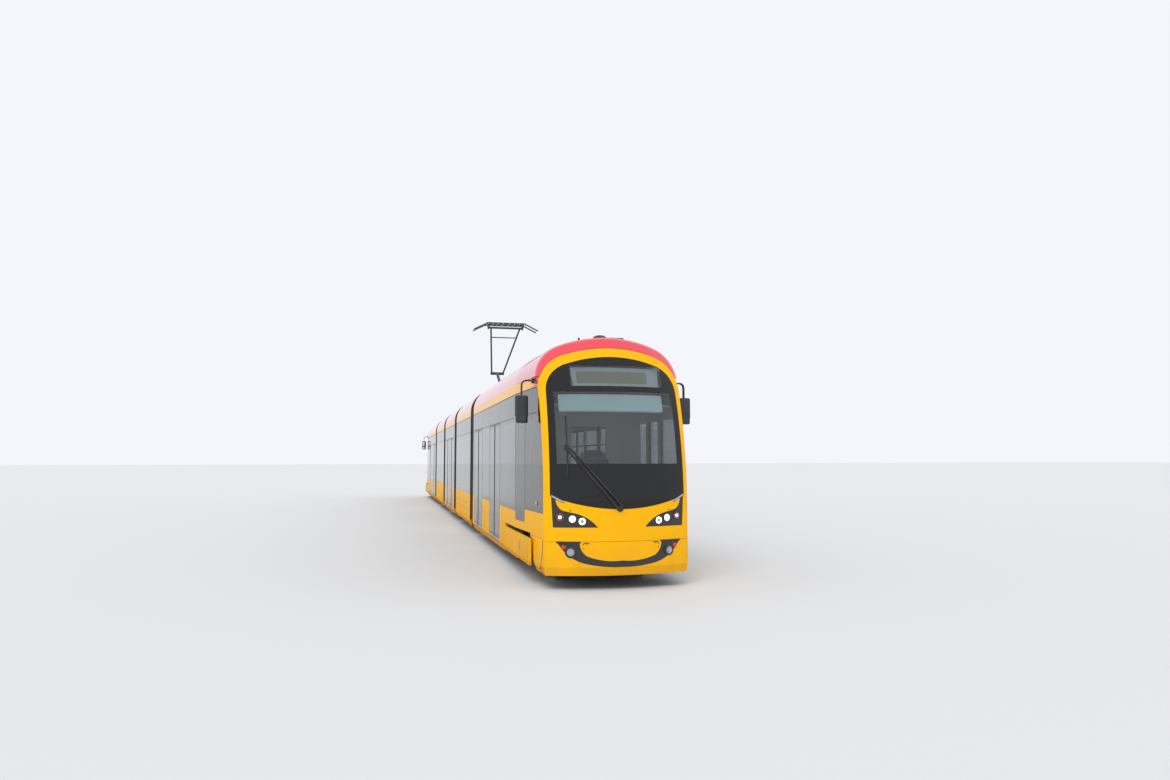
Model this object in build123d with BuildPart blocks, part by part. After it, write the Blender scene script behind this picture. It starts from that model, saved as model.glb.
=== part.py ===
"""Five-section low-floor tram: closed cabs at both ends, doors on both sides, one pantograph.

The front of the tram looks along -Y and +Z is up. The origin lies midway along the tram,
at the bottom of the wheel flanges. Places along the tram are given as set-back from the
tip of the nose, and heights as height above the rail head, both in millimetres.
"""

import os
from math import atan2, cos, degrees, hypot, radians, sin, sqrt

from build123d import *

# Overall sizes
LENGTH = 33000
WIDTH = 2350
MIDDLE = LENGTH / 2
ROOF_TOP = 3680
FLANGE_DEPTH = 25

# Heights above the rail head
FOOT_Z = 180
SILL_Z = 300
FLOOR_Z = 350
SKIRT_TOP_Z = 640
SLOT_TOP_Z = 705
CAB_FLOOR_Z = 900
BELT_Z = 975
CAB_BELT_Z = 1040
GANGWAY_TOP_Z = 2350
HEADER_Z = 2503
CEILING_Z = 2600
ROOF_DECK_Z = 2800
GLASS_TOP_Z = 2883
CANTRAIL_TOP_Z = 3050

# Body shell
SILL_TUCK = 45
SHOULDER_RADIUS = 550
CROWN_RADIUS = 2200
WALL = 70
END_WALL = 60
GANGWAY_HALF_WIDTH = 800
CANTRAIL_HALF_WIDTH = 1030
GLASS_THICK = 20
WINDOW_MARGIN = 70
SEAM = 8
PANEL_SEAM = 5
PANEL_SEAM_DEPTH = 6
FAIRING_THICK = 30
ROOF_OPENING_HALF = 640
BIG = 4000

# Nose: a body of revolution about an upright axis, whose line leans back above a vertical foot
NOSE_RADIUS = 2500
NOSE_LEAN_RADIUS = 5000
NOSE_LEAN_START_Z = 1100
NOSE_TAPER_LENGTH = 2300
NOSE_NARROWING = 115
NOSE_HALF_WIDTH = WIDTH / 2 - NOSE_NARROWING
NOSE_TOP = 3400
NOSE_EDGE_RADIUS = 75
MASK_THICK = 60
FRONT_WALL = 80
CAB_LENGTH = 2000
CAB_WALL = 50
CAB_DOOR_HALF_WIDTH = 300
CROWN_LENGTH = 1900
CROWN_LIP = 25
CROWN_NOSE_TOP = 3650
CROWN_SET_BACK = 15
CROWN_EDGE_RADIUS = 140

# Front of the nose, as seen from ahead
SCREEN_HALF_WIDTH = 1000
SCREEN_TOP_Z = 3333
SCREEN_SHOULDER_RADIUS = 430
SCREEN_CROWN_RADIUS = 2200
SCREEN_CORNER_Z = 1290
SCREEN_LOW_Z = 1105
BUMPER_TOP_Z = 655
BUMPER_SEAM_X = 600
BUMPER_SEAM_TOP_Z = 420
LAMP_LOW_Z = 852
LAMP_TIP_X = 345
LAMP_DROP = 12
FRONT_GAP = 4
SCREEN_RIM = 50
LAMP_SET_BACK = 8
LAMP_RADIUS = 46
FOG_LAMP_RADIUS = 42
WIPER_PIVOT_Z = 1140
WIPER_TIP_X = -755
WIPER_TIP_Z = 1600
WIPER_BLADE_MIDDLE_Z = 1990
WIPER_BLADE_LENGTH = 900
MIRROR_X = WIDTH / 2 + 115
MIRROR_S = 970
MIRROR_WIDTH = 200
MIRROR_DEPTH = 110
MIRROR_LOW_Z = 2350
MIRROR_HIGH_Z = 2770
MIRROR_ROOT_X = WIDTH / 2 - 105
MIRROR_ROOT_Z = 2990
MIRROR_TUBE_RADIUS = 16

# Joints between the sections, and the gap that each leaves
OUTER_JOINT_S = 9320
INNER_JOINT_S = 14190
JOINT_GAP = 700
FORK_LOW_Z = 190
FORK_TOP_Z = 345
FORK_THICK = 40
PIVOT_RADIUS = 45
PIVOT_EYE_RADIUS = 150
PIVOT_CLEARANCE = 0.1
TURNTABLE_RADIUS = 340
BELLOWS_INSET = 60
BELLOWS_FOOT_Z = 360
BELLOWS_TOP_Z = 3540
BELLOWS_GAP = 2

# Bogies
END_BOGIE_S = 2300
INNER_BOGIE_S = (OUTER_JOINT_S + INNER_JOINT_S) / 2
WHEELBASE = 1800
WHEEL_RADIUS = 300
WHEEL_BACK = 690
WHEEL_WIDTH = 115
FLANGE_WIDTH = 28
RIM_THICK = 45
WEB_THICK = 40
HUB_RADIUS = 110
AXLE_RADIUS = 65
JOURNAL_RADIUS = 50
JOURNAL_CLEARANCE = 0.1
AXLE_HALF_LENGTH = 980
FRAME_BEAM_X = 920
FRAME_BEAM_WIDTH = 100
FRAME_BEAM_LOW_Z = 380
FRAME_BEAM_TOP_Z = 480
AXLE_BOX_HALF = 110
SPRING_RADIUS = 110
SPRING_X = 880
SPRING_OFFSET = 260
CROSS_OFFSET = 330
CROSS_WIDTH = 140
CROSS_LOW_Z = 230
CROSS_TOP_Z = 400
BRAKE_LENGTH = 900
BRAKE_LOW_Z = 15
BRAKE_X = 755
BRAKE_WIDTH = 60
WELL_LENGTH = 2800
SKIRT_THICK = 35
WELL_HALF_WIDTH = WIDTH / 2 - SKIRT_THICK
WELL_UPPER_HALF_WIDTH = 1060
WELL_TOP_Z = 800
AISLE_HALF_WIDTH = 450
AISLE_UNDER_Z = 440
HOUSE_SHEET = 45
SEAT_GAP = 0.3
SKIRT_FRONT_S = 910
SKIRT_LOW_Z = 250

# Doors
LEAF_THICK = 45
LEAF_FRAME = 55
LEAF_GAP = 5
REBATE = 15

# Roof cases
BOX_EDGE_RADIUS = 40
FAN_RADIUS = 230
FAN_DEPTH = 40

# Pantograph, at its working height
PAN_BASE_S = 12350
PAN_BASE_Z = 3700
PAN_KNEE_S = 13600
PAN_KNEE_Z = 4400
PAN_HEAD_S = 11900
PAN_HEAD_Z = 5520
PAN_STRIP_Z = 5610
PAN_PIN_RADIUS = 20
PAN_PIN_CLEARANCE = 0.1
PAN_EYE_RADIUS = 42
PAN_EAR_X = 230
PAN_EAR_THICK = 30
PAN_GAP = 6
PAN_HUB_HALF = 50
PAN_KNEE_X = 170
PAN_HEAD_X = 410
PAN_BRACKET_X = 470
PAN_BAR_SHARE = 0.8
PAN_LOWER_TUBE_RADIUS = 40
PAN_UPPER_TUBE_RADIUS = 24
PAN_BAR_RADIUS = 15
PAN_HEAD_TUBE_RADIUS = 28
PAN_STRIP_OFFSET = 170
PAN_STRIP_WIDTH = 45
PAN_STRIP_THICK = 30
PAN_STRIP_X = 560
PAN_HORN_X = 900
PAN_HORN_Z = 5440
PAN_HORN_BEND = 250
PAN_FRAME_START = 11650
PAN_FRAME_END = 13450
PAN_FRAME_X = 420
PAN_FRAME_LOW_Z = 3560
PAN_FRAME_THICK = 70
PAN_CASE_HEIGHT = 580
PAN_CASE_HALF = 600
INSULATOR_RADIUS = 55

# Seats, poles and the cab
SEAT_X = 745
SEAT_WIDTH = 620
SEAT_DEPTH = 440
SEAT_BACK_THICK = 70
SEAT_BACK_HEIGHT = 480
POLE_X = 440
POLE_RADIUS = 17
DESK_START = 350
DESK_END = 850
DESK_HALF_WIDTH = 850
DESK_FRONT_Z = 1300
DESK_REAR_Z = 1180
CHAIR_S = 1650
CHAIR_HEIGHT = 420
CHAIR_WIDTH = 500
WHEEL_BOX_Z = WELL_TOP_Z + HOUSE_SHEET
SEAT_HEIGHT = {WHEEL_BOX_Z: 110, FLOOR_Z: 430}

# Seats: section, set-back of the back's foot, facing (1 is rearwards), height of their base
SEATS = [
    (1, 2300, 1, WHEEL_BOX_Z),
    (1, 3650, -1, WHEEL_BOX_Z),
    (1, 5900, 1, FLOOR_Z),
    (1, 6900, -1, FLOOR_Z),
    (2, 10450, 1, WHEEL_BOX_Z),
    (2, 11690, -1, WHEEL_BOX_Z),
    (2, 11820, 1, WHEEL_BOX_Z),
    (2, 13060, -1, WHEEL_BOX_Z),
]

# Upright poles: section, set-back, height of the base
POLES = [
    (1, 5780, FLOOR_Z),
    (1, 6990, FLOOR_Z),
    (2, 11755, WHEEL_BOX_Z),
    (3, MIDDLE - 100, FLOOR_Z),
    (3, MIDDLE + 100, FLOOR_Z),
]

# Lamps of the nose: place across and height of each, on both sides
HEADLAMPS = [(868, 996), (700, 972), (565, 939)]
FOG_LAMPS = [(720, 505)]

# Doorways: section, set-backs of the front and rear edge
DOORS = [
    (1, 4160, 5740),
    (1, 7030, 8630),
    (3, MIDDLE - 1510, MIDDLE - 170),
    (3, MIDDLE + 170, MIDDLE + 1510),
]

# Side glass: section, set-backs of the front and rear edge, height of the lower edge
PANES = [
    (1, 330, 1545, CAB_BELT_Z),
    (1, 1553, 2276, 840),
    (1, 2284, 4156, BELT_Z),
    (1, 5744, 7026, BELT_Z),
    (1, 8634, 8962, BELT_Z),
    (2, 9678, 11040, BELT_Z),
    (2, 11048, 12462, BELT_Z),
    (2, 12470, 13832, BELT_Z),
    (3, INNER_JOINT_S + 358, MIDDLE - 1514, BELT_Z),
    (3, MIDDLE - 166, MIDDLE + 166, BELT_Z),
    (3, MIDDLE + 1514, LENGTH - INNER_JOINT_S - 358, BELT_Z),
]

# Grooves between side panels: section, set-backs of the ends, heights of the edges
SEAMS = [
    (1, 100, 1145, 680, 680 + PANEL_SEAM),
    (1, 1140, 1140 + PANEL_SEAM, SILL_Z, 680),
    (1, 5744, 7026, 720, 720 + PANEL_SEAM),
    (1, 8634, 8962, 720, 720 + PANEL_SEAM),
    (2, 9678, 13832, 720, 720 + PANEL_SEAM),
    (2, 9678, 13832, 560, 560 + PANEL_SEAM),
    (2, 10350, 10350 + PANEL_SEAM, SILL_Z, 560),
    (2, 13160, 13160 + PANEL_SEAM, SILL_Z, 560),
    (3, INNER_JOINT_S + 358, LENGTH - INNER_JOINT_S - 358, 720, 720 + PANEL_SEAM),
]

# Boxes on the roof: section, set-backs of the ends, half width, height;
# section 4 is section 2 turned to the rear end
ROOF_BOXES = [
    (1, 2100, 3300, 560, 560),
    (1, 3700, 6300, 600, 640),
    (1, 6700, 8300, 560, 520),
    (2, 9900, 11200, 560, 560),
    (3, MIDDLE - 1700, MIDDLE + 700, 600, 640),
    (3, MIDDLE + 900, MIDDLE + 1700, 560, 520),
    (4, 12300, 13500, 560, 560),
    (4, 10100, 12000, 600, 600),
]

SECTION_START = {1: 0, 2: OUTER_JOINT_S + JOINT_GAP / 2, 3: INNER_JOINT_S + JOINT_GAP / 2}
SECTION_END = {
    1: OUTER_JOINT_S - JOINT_GAP / 2,
    2: INNER_JOINT_S - JOINT_GAP / 2,
    3: LENGTH - INNER_JOINT_S - JOINT_GAP / 2,
}


def along(setback):
    """Place along Y of a point that lies setback behind the nose."""
    return setback - LENGTH / 2


def height(above_rail):
    """Place along Z of a point above the rail head."""
    return above_rail + FLANGE_DEPTH


def cross_plane(setback):
    """Upright plane across the tram, drawn as seen from the front."""
    return Plane((0, along(setback), 0), x_dir=(1, 0, 0), z_dir=(0, -1, 0))


def block(start, end, low, high, half_width):
    """Plain block across the tram."""
    with BuildPart() as piece:
        with BuildSketch(Plane.XY.offset(height(low))):
            with Locations((0, (along(start) + along(end)) / 2)):
                Rectangle(2 * half_width, end - start)
        extrude(amount=high - low)
    return piece.part


def side_blocks(start, end, low, high, inner, outer):
    """The same block on both sides of the tram."""
    with BuildPart() as piece:
        with BuildSketch(Plane.XY.offset(height(low))):
            for side in (-1, 1):
                with Locations((side * (inner + outer) / 2, (along(start) + along(end)) / 2)):
                    Rectangle(outer - inner, end - start)
        extrude(amount=high - low)
    return piece.part


def trimmed(blank, waste):
    """The blank with one tool cut away."""
    with BuildPart() as piece:
        add(blank)
        add(waste, mode=Mode.SUBTRACT)
    return piece.part


def common(blank, mark):
    """What two solids share."""
    with BuildPart() as piece:
        add(blank)
        add(mark, mode=Mode.INTERSECT)
    return piece.part


def turned(piece):
    """The same piece at the other end of the tram."""
    with BuildPart() as copy:
        add(piece, rotation=(0, 0, 180))
    return copy.part


def save(piece, name):
    """Label a finished piece and write it."""
    piece.label = name
    export_step(piece, f"parts/{name}.step")


def arch(half_width, top, shoulder_radius, crown_radius, foot, inset=0, tuck=0):
    """Upright side, shoulder arc and crown arc, closed by a straight foot."""
    side = half_width - inset
    shoulder_x = half_width - shoulder_radius
    crown_z = height(top) - crown_radius
    reach = sqrt((crown_radius - shoulder_radius) ** 2 - shoulder_x**2)
    shoulder_z = crown_z + reach
    lean = atan2(reach, shoulder_x)
    small = shoulder_radius - inset
    large = crown_radius - inset

    def on_shoulder(angle):
        return (shoulder_x + small * cos(angle), shoulder_z + small * sin(angle))

    def on_crown(angle):
        return (large * cos(angle), crown_z + large * sin(angle))

    with BuildLine() as outline:
        if tuck:
            Polyline(
                (0, height(foot)),
                (side - tuck, height(foot)),
                (side, height(SILL_Z)),
                (side, shoulder_z),
            )
        else:
            Polyline((0, height(foot)), (side, height(foot)), (side, shoulder_z))
        ThreePointArc(on_shoulder(0), on_shoulder(lean / 2), on_shoulder(lean))
        ThreePointArc(on_crown(lean), on_crown((lean + radians(90)) / 2), (0, crown_z + large))
        mirror(about=Plane.YZ)
    make_face(outline.line.edges())


def full_arch(inset=0, foot=FOOT_Z, tuck=SILL_TUCK):
    """Cross-section of the body."""
    arch(WIDTH / 2, ROOF_TOP, SHOULDER_RADIUS, CROWN_RADIUS, foot, inset, tuck)


def straight_blank(start, end, inset=0):
    """Solid with the full cross-section between two set-backs."""
    with BuildPart() as piece:
        with BuildSketch(cross_plane(start)):
            full_arch(inset)
        extrude(amount=start - end)
    return piece.part


def tapered_blank(end, inset=0, half_width=NOSE_HALF_WIDTH, top=NOSE_TOP, tuck=SILL_TUCK):
    """Solid with the outline of an end section, tapered forward, not yet cut to the nose."""
    with BuildPart() as piece:
        with BuildSketch(cross_plane(0)):
            arch(half_width, top, SHOULDER_RADIUS, CROWN_RADIUS, FOOT_Z, inset, tuck)
        with BuildSketch(cross_plane(NOSE_TAPER_LENGTH)):
            full_arch(inset, FOOT_Z, tuck)
        loft(ruled=True)
        with BuildSketch(cross_plane(NOSE_TAPER_LENGTH)):
            full_arch(inset, FOOT_Z, tuck)
        extrude(amount=NOSE_TAPER_LENGTH - end)
    return piece.part


def nose_core(grow=0):
    """Body of revolution whose front is the nose surface, grown outwards by grow."""
    top = height(ROOF_TOP) + 200
    base = height(NOSE_LEAN_START_Z)
    radius = NOSE_RADIUS + grow

    def lean(z):
        return radius - NOSE_LEAN_RADIUS + sqrt(NOSE_LEAN_RADIUS**2 - (z - base) ** 2)

    middle = (base + top) / 2
    with BuildPart() as piece:
        with BuildSketch(Plane.YZ):
            with BuildLine():
                Polyline((0, top), (0, -100), (-radius, -100), (-radius, base))
                ThreePointArc((-radius, base), (-lean(middle), middle), (-lean(top), top))
                Line((-lean(top), top), (0, top))
            make_face()
        revolve(axis=Axis.Z)
    return piece.part.moved(Location((0, along(NOSE_RADIUS), 0)))


def nose_waste(inset=0):
    """What lies ahead of the nose surface, moved back by inset."""
    return trimmed(
        block(-500, NOSE_RADIUS, -2 * FLANGE_DEPTH, ROOF_TOP + 100, WIDTH / 2 + 100),
        nose_core(-inset),
    )


def rounded_front(blank, inset, radius):
    """Upper part of a blank, cut to the nose surface and rounded along its front edges."""
    low = NOSE_LEAN_START_Z + 1
    with BuildPart() as piece:
        add(blank)
        add(nose_waste(inset), mode=Mode.SUBTRACT)
        add(block(-500, LENGTH, 0, low, WIDTH), mode=Mode.SUBTRACT)
        front = piece.faces().filter_by(lambda face: face.normal_at().Y < -0.5)[0]
        fillet(front.edges().filter_by(lambda edge: edge.center().Z > height(low) + 1), radius)
    return piece.part


def crown_blank(end, inset=0):
    """Roof of an end section, slightly wider than its sides and rounded down to the mask."""
    blank = tapered_blank(end, inset, NOSE_HALF_WIDTH + CROWN_LIP, CROWN_NOSE_TOP, 0)
    return rounded_front(blank, CROWN_SET_BACK + inset, CROWN_EDGE_RADIUS - inset)


def bogie_well(centre):
    """Space under the floor in which a bogie turns."""
    start = centre - WELL_LENGTH / 2
    end = centre + WELL_LENGTH / 2
    with BuildPart() as piece:
        add(block(start, end, 0, AISLE_UNDER_Z, WELL_HALF_WIDTH))
        add(side_blocks(start, end, 0, SKIRT_TOP_Z, AISLE_HALF_WIDTH, WELL_HALF_WIDTH))
        add(side_blocks(start, end, 0, WELL_TOP_Z, AISLE_HALF_WIDTH, WELL_UPPER_HALF_WIDTH))
    return piece.part


def bogie_house(start, end):
    """Raised aisle floor and wheel boxes over a bogie."""
    inside = WIDTH / 2 - WALL
    sheet_top = WELL_TOP_Z + HOUSE_SHEET
    with BuildPart() as piece:
        add(block(start, end, FOOT_Z, AISLE_UNDER_Z + HOUSE_SHEET, inside))
        add(side_blocks(start, end, FOOT_Z, sheet_top, AISLE_HALF_WIDTH - HOUSE_SHEET, inside))
    return piece.part


def pivot_plate(pivot, root, low, high, eye, bore=0):
    """Flat plate from a section's end to the pivot, round at its eye."""
    with BuildPart() as piece:
        with BuildSketch(Plane.XY.offset(height(low))):
            with Locations((0, along(pivot))):
                Circle(eye)
            with Locations((0, (along(pivot) + along(root)) / 2)):
                Rectangle(2 * eye, abs(root - pivot))
            if bore:
                with Locations((0, along(pivot))):
                    Circle(bore, mode=Mode.SUBTRACT)
        extrude(amount=high - low)
    return piece.part


def pivot_fork(pivot, root):
    """Lower plate and turntable floor plate, which hold the pin of the next section."""
    bore = PIVOT_RADIUS + PIVOT_CLEARANCE
    with BuildPart() as piece:
        add(pivot_plate(pivot, root, FORK_LOW_Z, FORK_LOW_Z + FORK_THICK, PIVOT_EYE_RADIUS, bore))
        add(pivot_plate(pivot, root, FORK_TOP_Z - FORK_THICK, FORK_TOP_Z, TURNTABLE_RADIUS, bore))
    return piece.part


def pivot_tongue(pivot, root):
    """Plate and pin that turn between the two plates of the fork."""
    middle = (FORK_LOW_Z + FORK_TOP_Z) / 2
    low = middle - FORK_THICK / 2
    with BuildPart() as piece:
        add(pivot_plate(pivot, root, low, low + FORK_THICK, PIVOT_EYE_RADIUS))
        with BuildSketch(Plane.XY.offset(height(FORK_LOW_Z))):
            with Locations((0, along(pivot))):
                Circle(PIVOT_RADIUS)
        extrude(amount=FORK_TOP_Z - FORK_LOW_Z)
    return piece.part


def side_openings(section):
    """Window and door openings through both walls."""
    reach = WIDTH / 2 + 50
    with BuildPart() as piece:
        for number, start, end, low in PANES:
            if number == section and end - start > 5 * WINDOW_MARGIN:
                add(
                    side_blocks(
                        start + WINDOW_MARGIN,
                        end - WINDOW_MARGIN,
                        max(low, BELT_Z) + WINDOW_MARGIN,
                        HEADER_Z - WINDOW_MARGIN,
                        WIDTH / 2 - 4 * WALL,
                        reach,
                    )
                )
        for number, start, end in DOORS:
            if number == section:
                add(side_blocks(start, end, SILL_Z, HEADER_Z, WIDTH / 2 - WALL - 5, reach))
    return piece.part


def glass_marks(section):
    """Blocks that mark where the flush glass of a section lies."""
    reach = WIDTH / 2 + 50
    with BuildPart() as piece:
        for number, start, end, low in PANES:
            if number == section:
                add(block(start, end, low, HEADER_Z - SEAM / 2, reach))
                add(block(start, end, HEADER_Z + SEAM / 2, GLASS_TOP_Z, reach))
        for number, start, end in DOORS:
            if number == section:
                half_seam = SEAM / 2
                low = HEADER_Z + half_seam
                add(block(start + half_seam, end - half_seam, low, GLASS_TOP_Z, reach))
    return piece.part


def glass_recess(section):
    """Space in which the glass lies, a seam wider than the band and its deeper column."""
    reach = WIDTH / 2 + 50
    with BuildPart() as piece:
        for number, start, end, low in PANES:
            if number == section:
                half_seam = SEAM / 2
                add(
                    block(
                        start - half_seam, end + half_seam, low - half_seam,
                        GLASS_TOP_Z + half_seam, reach,
                    )
                )
        for number, start, end in DOORS:
            if number == section:
                add(block(start, end, HEADER_Z, GLASS_TOP_Z + SEAM / 2, reach))
    return piece.part


def side_seams(section, blank):
    """Grooves between the panels of a section's sides; the blank lies a groove's depth inside."""
    with BuildPart() as piece:
        for number, start, end, low, high in SEAMS:
            if number == section:
                add(block(start, end, low, high, WIDTH))
        add(blank, mode=Mode.SUBTRACT)
    return piece.part


os.makedirs("parts", exist_ok=True)

# Blanks of the three different sections, outer and one glass thickness inside
outer = {1: trimmed(tapered_blank(SECTION_END[1]), nose_waste(MASK_THICK))}
inner = {1: tapered_blank(SECTION_END[1], GLASS_THICK)}
for section in (2, 3):
    outer[section] = straight_blank(SECTION_START[section], SECTION_END[section])
    inner[section] = straight_blank(SECTION_START[section], SECTION_END[section], GLASS_THICK)
skin = {}
grooves = {1: side_seams(1, tapered_blank(SECTION_END[1], PANEL_SEAM_DEPTH))}
for section in (1, 2, 3):
    skin[section] = trimmed(outer[section], inner[section])
for section in (2, 3):
    start, end = SECTION_START[section], SECTION_END[section]
    grooves[section] = side_seams(section, straight_blank(start, end, PANEL_SEAM_DEPTH))

# Shell of the middle section: doors on both sides and a fork at each end
with BuildPart() as shell_middle:
    start, end = SECTION_START[3], SECTION_END[3]
    room = WIDTH / 2 - WALL
    add(outer[3])
    add(block(start, end, CANTRAIL_TOP_Z, BIG, WIDTH), mode=Mode.SUBTRACT)
    add(block(start, end, ROOF_DECK_Z, BIG, CANTRAIL_HALF_WIDTH), mode=Mode.SUBTRACT)
    add(block(start + END_WALL, end - END_WALL, FLOOR_Z, CEILING_Z, room), mode=Mode.SUBTRACT)
    add(block(start, end, FLOOR_Z, GANGWAY_TOP_Z, GANGWAY_HALF_WIDTH), mode=Mode.SUBTRACT)
    add(common(skin[3], glass_recess(3)), mode=Mode.SUBTRACT)
    add(side_openings(3), mode=Mode.SUBTRACT)
    add(grooves[3], mode=Mode.SUBTRACT)
    add(pivot_fork(INNER_JOINT_S, start))
    add(pivot_fork(LENGTH - INNER_JOINT_S, end))
save(shell_middle.part, "shell_middle")

# Shell of the bogie section: no doors, windows over raised wheel boxes
with BuildPart() as shell_bogie:
    start, end = SECTION_START[2], SECTION_END[2]
    add(outer[2])
    add(block(start, end, CANTRAIL_TOP_Z, BIG, WIDTH), mode=Mode.SUBTRACT)
    add(block(start, end, ROOF_DECK_Z, BIG, CANTRAIL_HALF_WIDTH), mode=Mode.SUBTRACT)
    add(block(start + END_WALL, end - END_WALL, FLOOR_Z, CEILING_Z, room), mode=Mode.SUBTRACT)
    add(block(start, end, FLOOR_Z, GANGWAY_TOP_Z, GANGWAY_HALF_WIDTH), mode=Mode.SUBTRACT)
    house = WELL_LENGTH / 2 + HOUSE_SHEET
    add(bogie_house(INNER_BOGIE_S - house, INNER_BOGIE_S + house))
    add(bogie_well(INNER_BOGIE_S), mode=Mode.SUBTRACT)
    add(common(skin[2], glass_recess(2)), mode=Mode.SUBTRACT)
    add(side_openings(2), mode=Mode.SUBTRACT)
    add(grooves[2], mode=Mode.SUBTRACT)
    add(pivot_fork(OUTER_JOINT_S, start))
    add(pivot_tongue(INNER_JOINT_S, end))

# Shell of the end section: cab with a raised floor, bulkhead with a door, saloon
cab_room_width = NOSE_HALF_WIDTH - WALL
with BuildPart() as cab_room:
    with BuildSketch(Plane.XY.offset(height(CAB_FLOOR_Z))):
        with BuildLine():
            Polyline(
                (-cab_room_width, along(0)),
                (cab_room_width, along(0)),
                (WIDTH / 2 - WALL - 15, along(CAB_LENGTH)),
                (WALL + 15 - WIDTH / 2, along(CAB_LENGTH)),
                close=True,
            )
        make_face()
    extrude(amount=CEILING_Z - CAB_FLOOR_Z)
    add(nose_waste(MASK_THICK + FRONT_WALL), mode=Mode.SUBTRACT)


def screen_outline(inset):
    """Outline of the windscreen as seen from ahead: arched top, bowl-shaped lower edge."""
    half = SCREEN_HALF_WIDTH - inset
    with BuildSketch(cross_plane(-300)) as outline:
        arch(
            SCREEN_HALF_WIDTH,
            SCREEN_TOP_Z,
            SCREEN_SHOULDER_RADIUS,
            SCREEN_CROWN_RADIUS,
            SCREEN_CORNER_Z,
            inset,
        )
        with BuildLine():
            ThreePointArc(
                (-half, height(SCREEN_CORNER_Z)),
                (0, height(SCREEN_LOW_Z) + inset),
                (half, height(SCREEN_CORNER_Z)),
            )
            Line((half, height(SCREEN_CORNER_Z)), (-half, height(SCREEN_CORNER_Z)))
        make_face()
    return outline.sketch


def prism(outline):
    """The outline extended back through the nose."""
    with BuildPart() as piece:
        extrude(outline, amount=2 * NOSE_RADIUS / 3, dir=(0, 1, 0))
    return piece.part


front_wall = nose_waste(MASK_THICK + FRONT_WALL + 5)
screen_seat = trimmed(nose_waste(MASK_THICK), nose_waste(GLASS_THICK + SEAT_GAP))
with BuildPart() as shell_end:
    end = SECTION_END[1]
    cab_end = CAB_LENGTH + CAB_WALL
    add(outer[1])
    add(block(0, end, CANTRAIL_TOP_Z, BIG, WIDTH), mode=Mode.SUBTRACT)
    add(block(CROWN_LENGTH, end, ROOF_DECK_Z, BIG, CANTRAIL_HALF_WIDTH), mode=Mode.SUBTRACT)
    add(block(cab_end, end - END_WALL, FLOOR_Z, CEILING_Z, room), mode=Mode.SUBTRACT)
    add(block(cab_end, end, FLOOR_Z, GANGWAY_TOP_Z, GANGWAY_HALF_WIDTH), mode=Mode.SUBTRACT)
    add(bogie_house(CAB_LENGTH, END_BOGIE_S + WELL_LENGTH / 2 + HOUSE_SHEET))
    add(cab_room.part, mode=Mode.SUBTRACT)
    add(
        block(CAB_LENGTH - 5, cab_end + 5, CAB_FLOOR_Z, GANGWAY_TOP_Z, CAB_DOOR_HALF_WIDTH),
        mode=Mode.SUBTRACT,
    )
    add(
        side_blocks(
            SKIRT_FRONT_S, END_BOGIE_S + WELL_LENGTH / 2, SKIRT_LOW_Z, SKIRT_TOP_Z,
            WELL_HALF_WIDTH - 200, WIDTH / 2,
        )
    )
    add(bogie_well(END_BOGIE_S), mode=Mode.SUBTRACT)
    add(
        side_blocks(
            SKIRT_FRONT_S + 240, END_BOGIE_S + WELL_LENGTH / 2 - 250, SKIRT_TOP_Z, SLOT_TOP_Z,
            WELL_UPPER_HALF_WIDTH - 5, WIDTH / 2 + 50,
        ),
        mode=Mode.SUBTRACT,
    )
    add(common(skin[1], glass_recess(1)), mode=Mode.SUBTRACT)
    add(side_openings(1), mode=Mode.SUBTRACT)
    add(grooves[1], mode=Mode.SUBTRACT)
    add(common(prism(screen_outline(FRONT_GAP)), screen_seat))
    add(common(prism(screen_outline(SCREEN_RIM)), front_wall), mode=Mode.SUBTRACT)
    add(pivot_tongue(OUTER_JOINT_S, end))
save(shell_end.part, "shell_front")
save(turned(shell_end.part), "shell_rear")
save(shell_bogie.part, "shell_bogie_front")
save(turned(shell_bogie.part), "shell_bogie_rear")


def leaf_pair(start, end):
    """Both leaves of a doorway, on both sides, each a frame with a rebate for its glass."""
    middle = (start + end) / 2
    leaves = ((start + LEAF_GAP, middle - LEAF_GAP / 2), (middle + LEAF_GAP / 2, end - LEAF_GAP))
    outside = WIDTH / 2
    with BuildPart() as piece:
        for low, high in leaves:
            add(
                side_blocks(
                    low, high, SILL_Z, HEADER_Z - SEAM, outside - LEAF_THICK, outside
                )
            )
            add(
                side_blocks(
                    low + LEAF_FRAME, high - LEAF_FRAME,
                    SILL_Z + 2 * LEAF_FRAME, HEADER_Z - SEAM - LEAF_FRAME,
                    outside - LEAF_THICK - 5, outside + 5,
                ),
                mode=Mode.SUBTRACT,
            )
            add(
                side_blocks(
                    low + LEAF_FRAME - REBATE, high - LEAF_FRAME + REBATE,
                    SILL_Z + 2 * LEAF_FRAME - REBATE, HEADER_Z - SEAM - LEAF_FRAME + REBATE,
                    outside - GLASS_THICK, outside + 5,
                ),
                mode=Mode.SUBTRACT,
            )
    return piece.part


def leaf_glass(start, end):
    """Panes of both leaves of a doorway, on both sides."""
    middle = (start + end) / 2
    leaves = ((start + LEAF_GAP, middle - LEAF_GAP / 2), (middle + LEAF_GAP / 2, end - LEAF_GAP))
    outside = WIDTH / 2
    edge = LEAF_FRAME - REBATE + 1
    with BuildPart() as piece:
        for low, high in leaves:
            add(
                side_blocks(
                    low + edge, high - edge,
                    SILL_Z + LEAF_FRAME + edge, HEADER_Z - SEAM - edge,
                    outside - GLASS_THICK, outside,
                )
            )
    return piece.part


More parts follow.
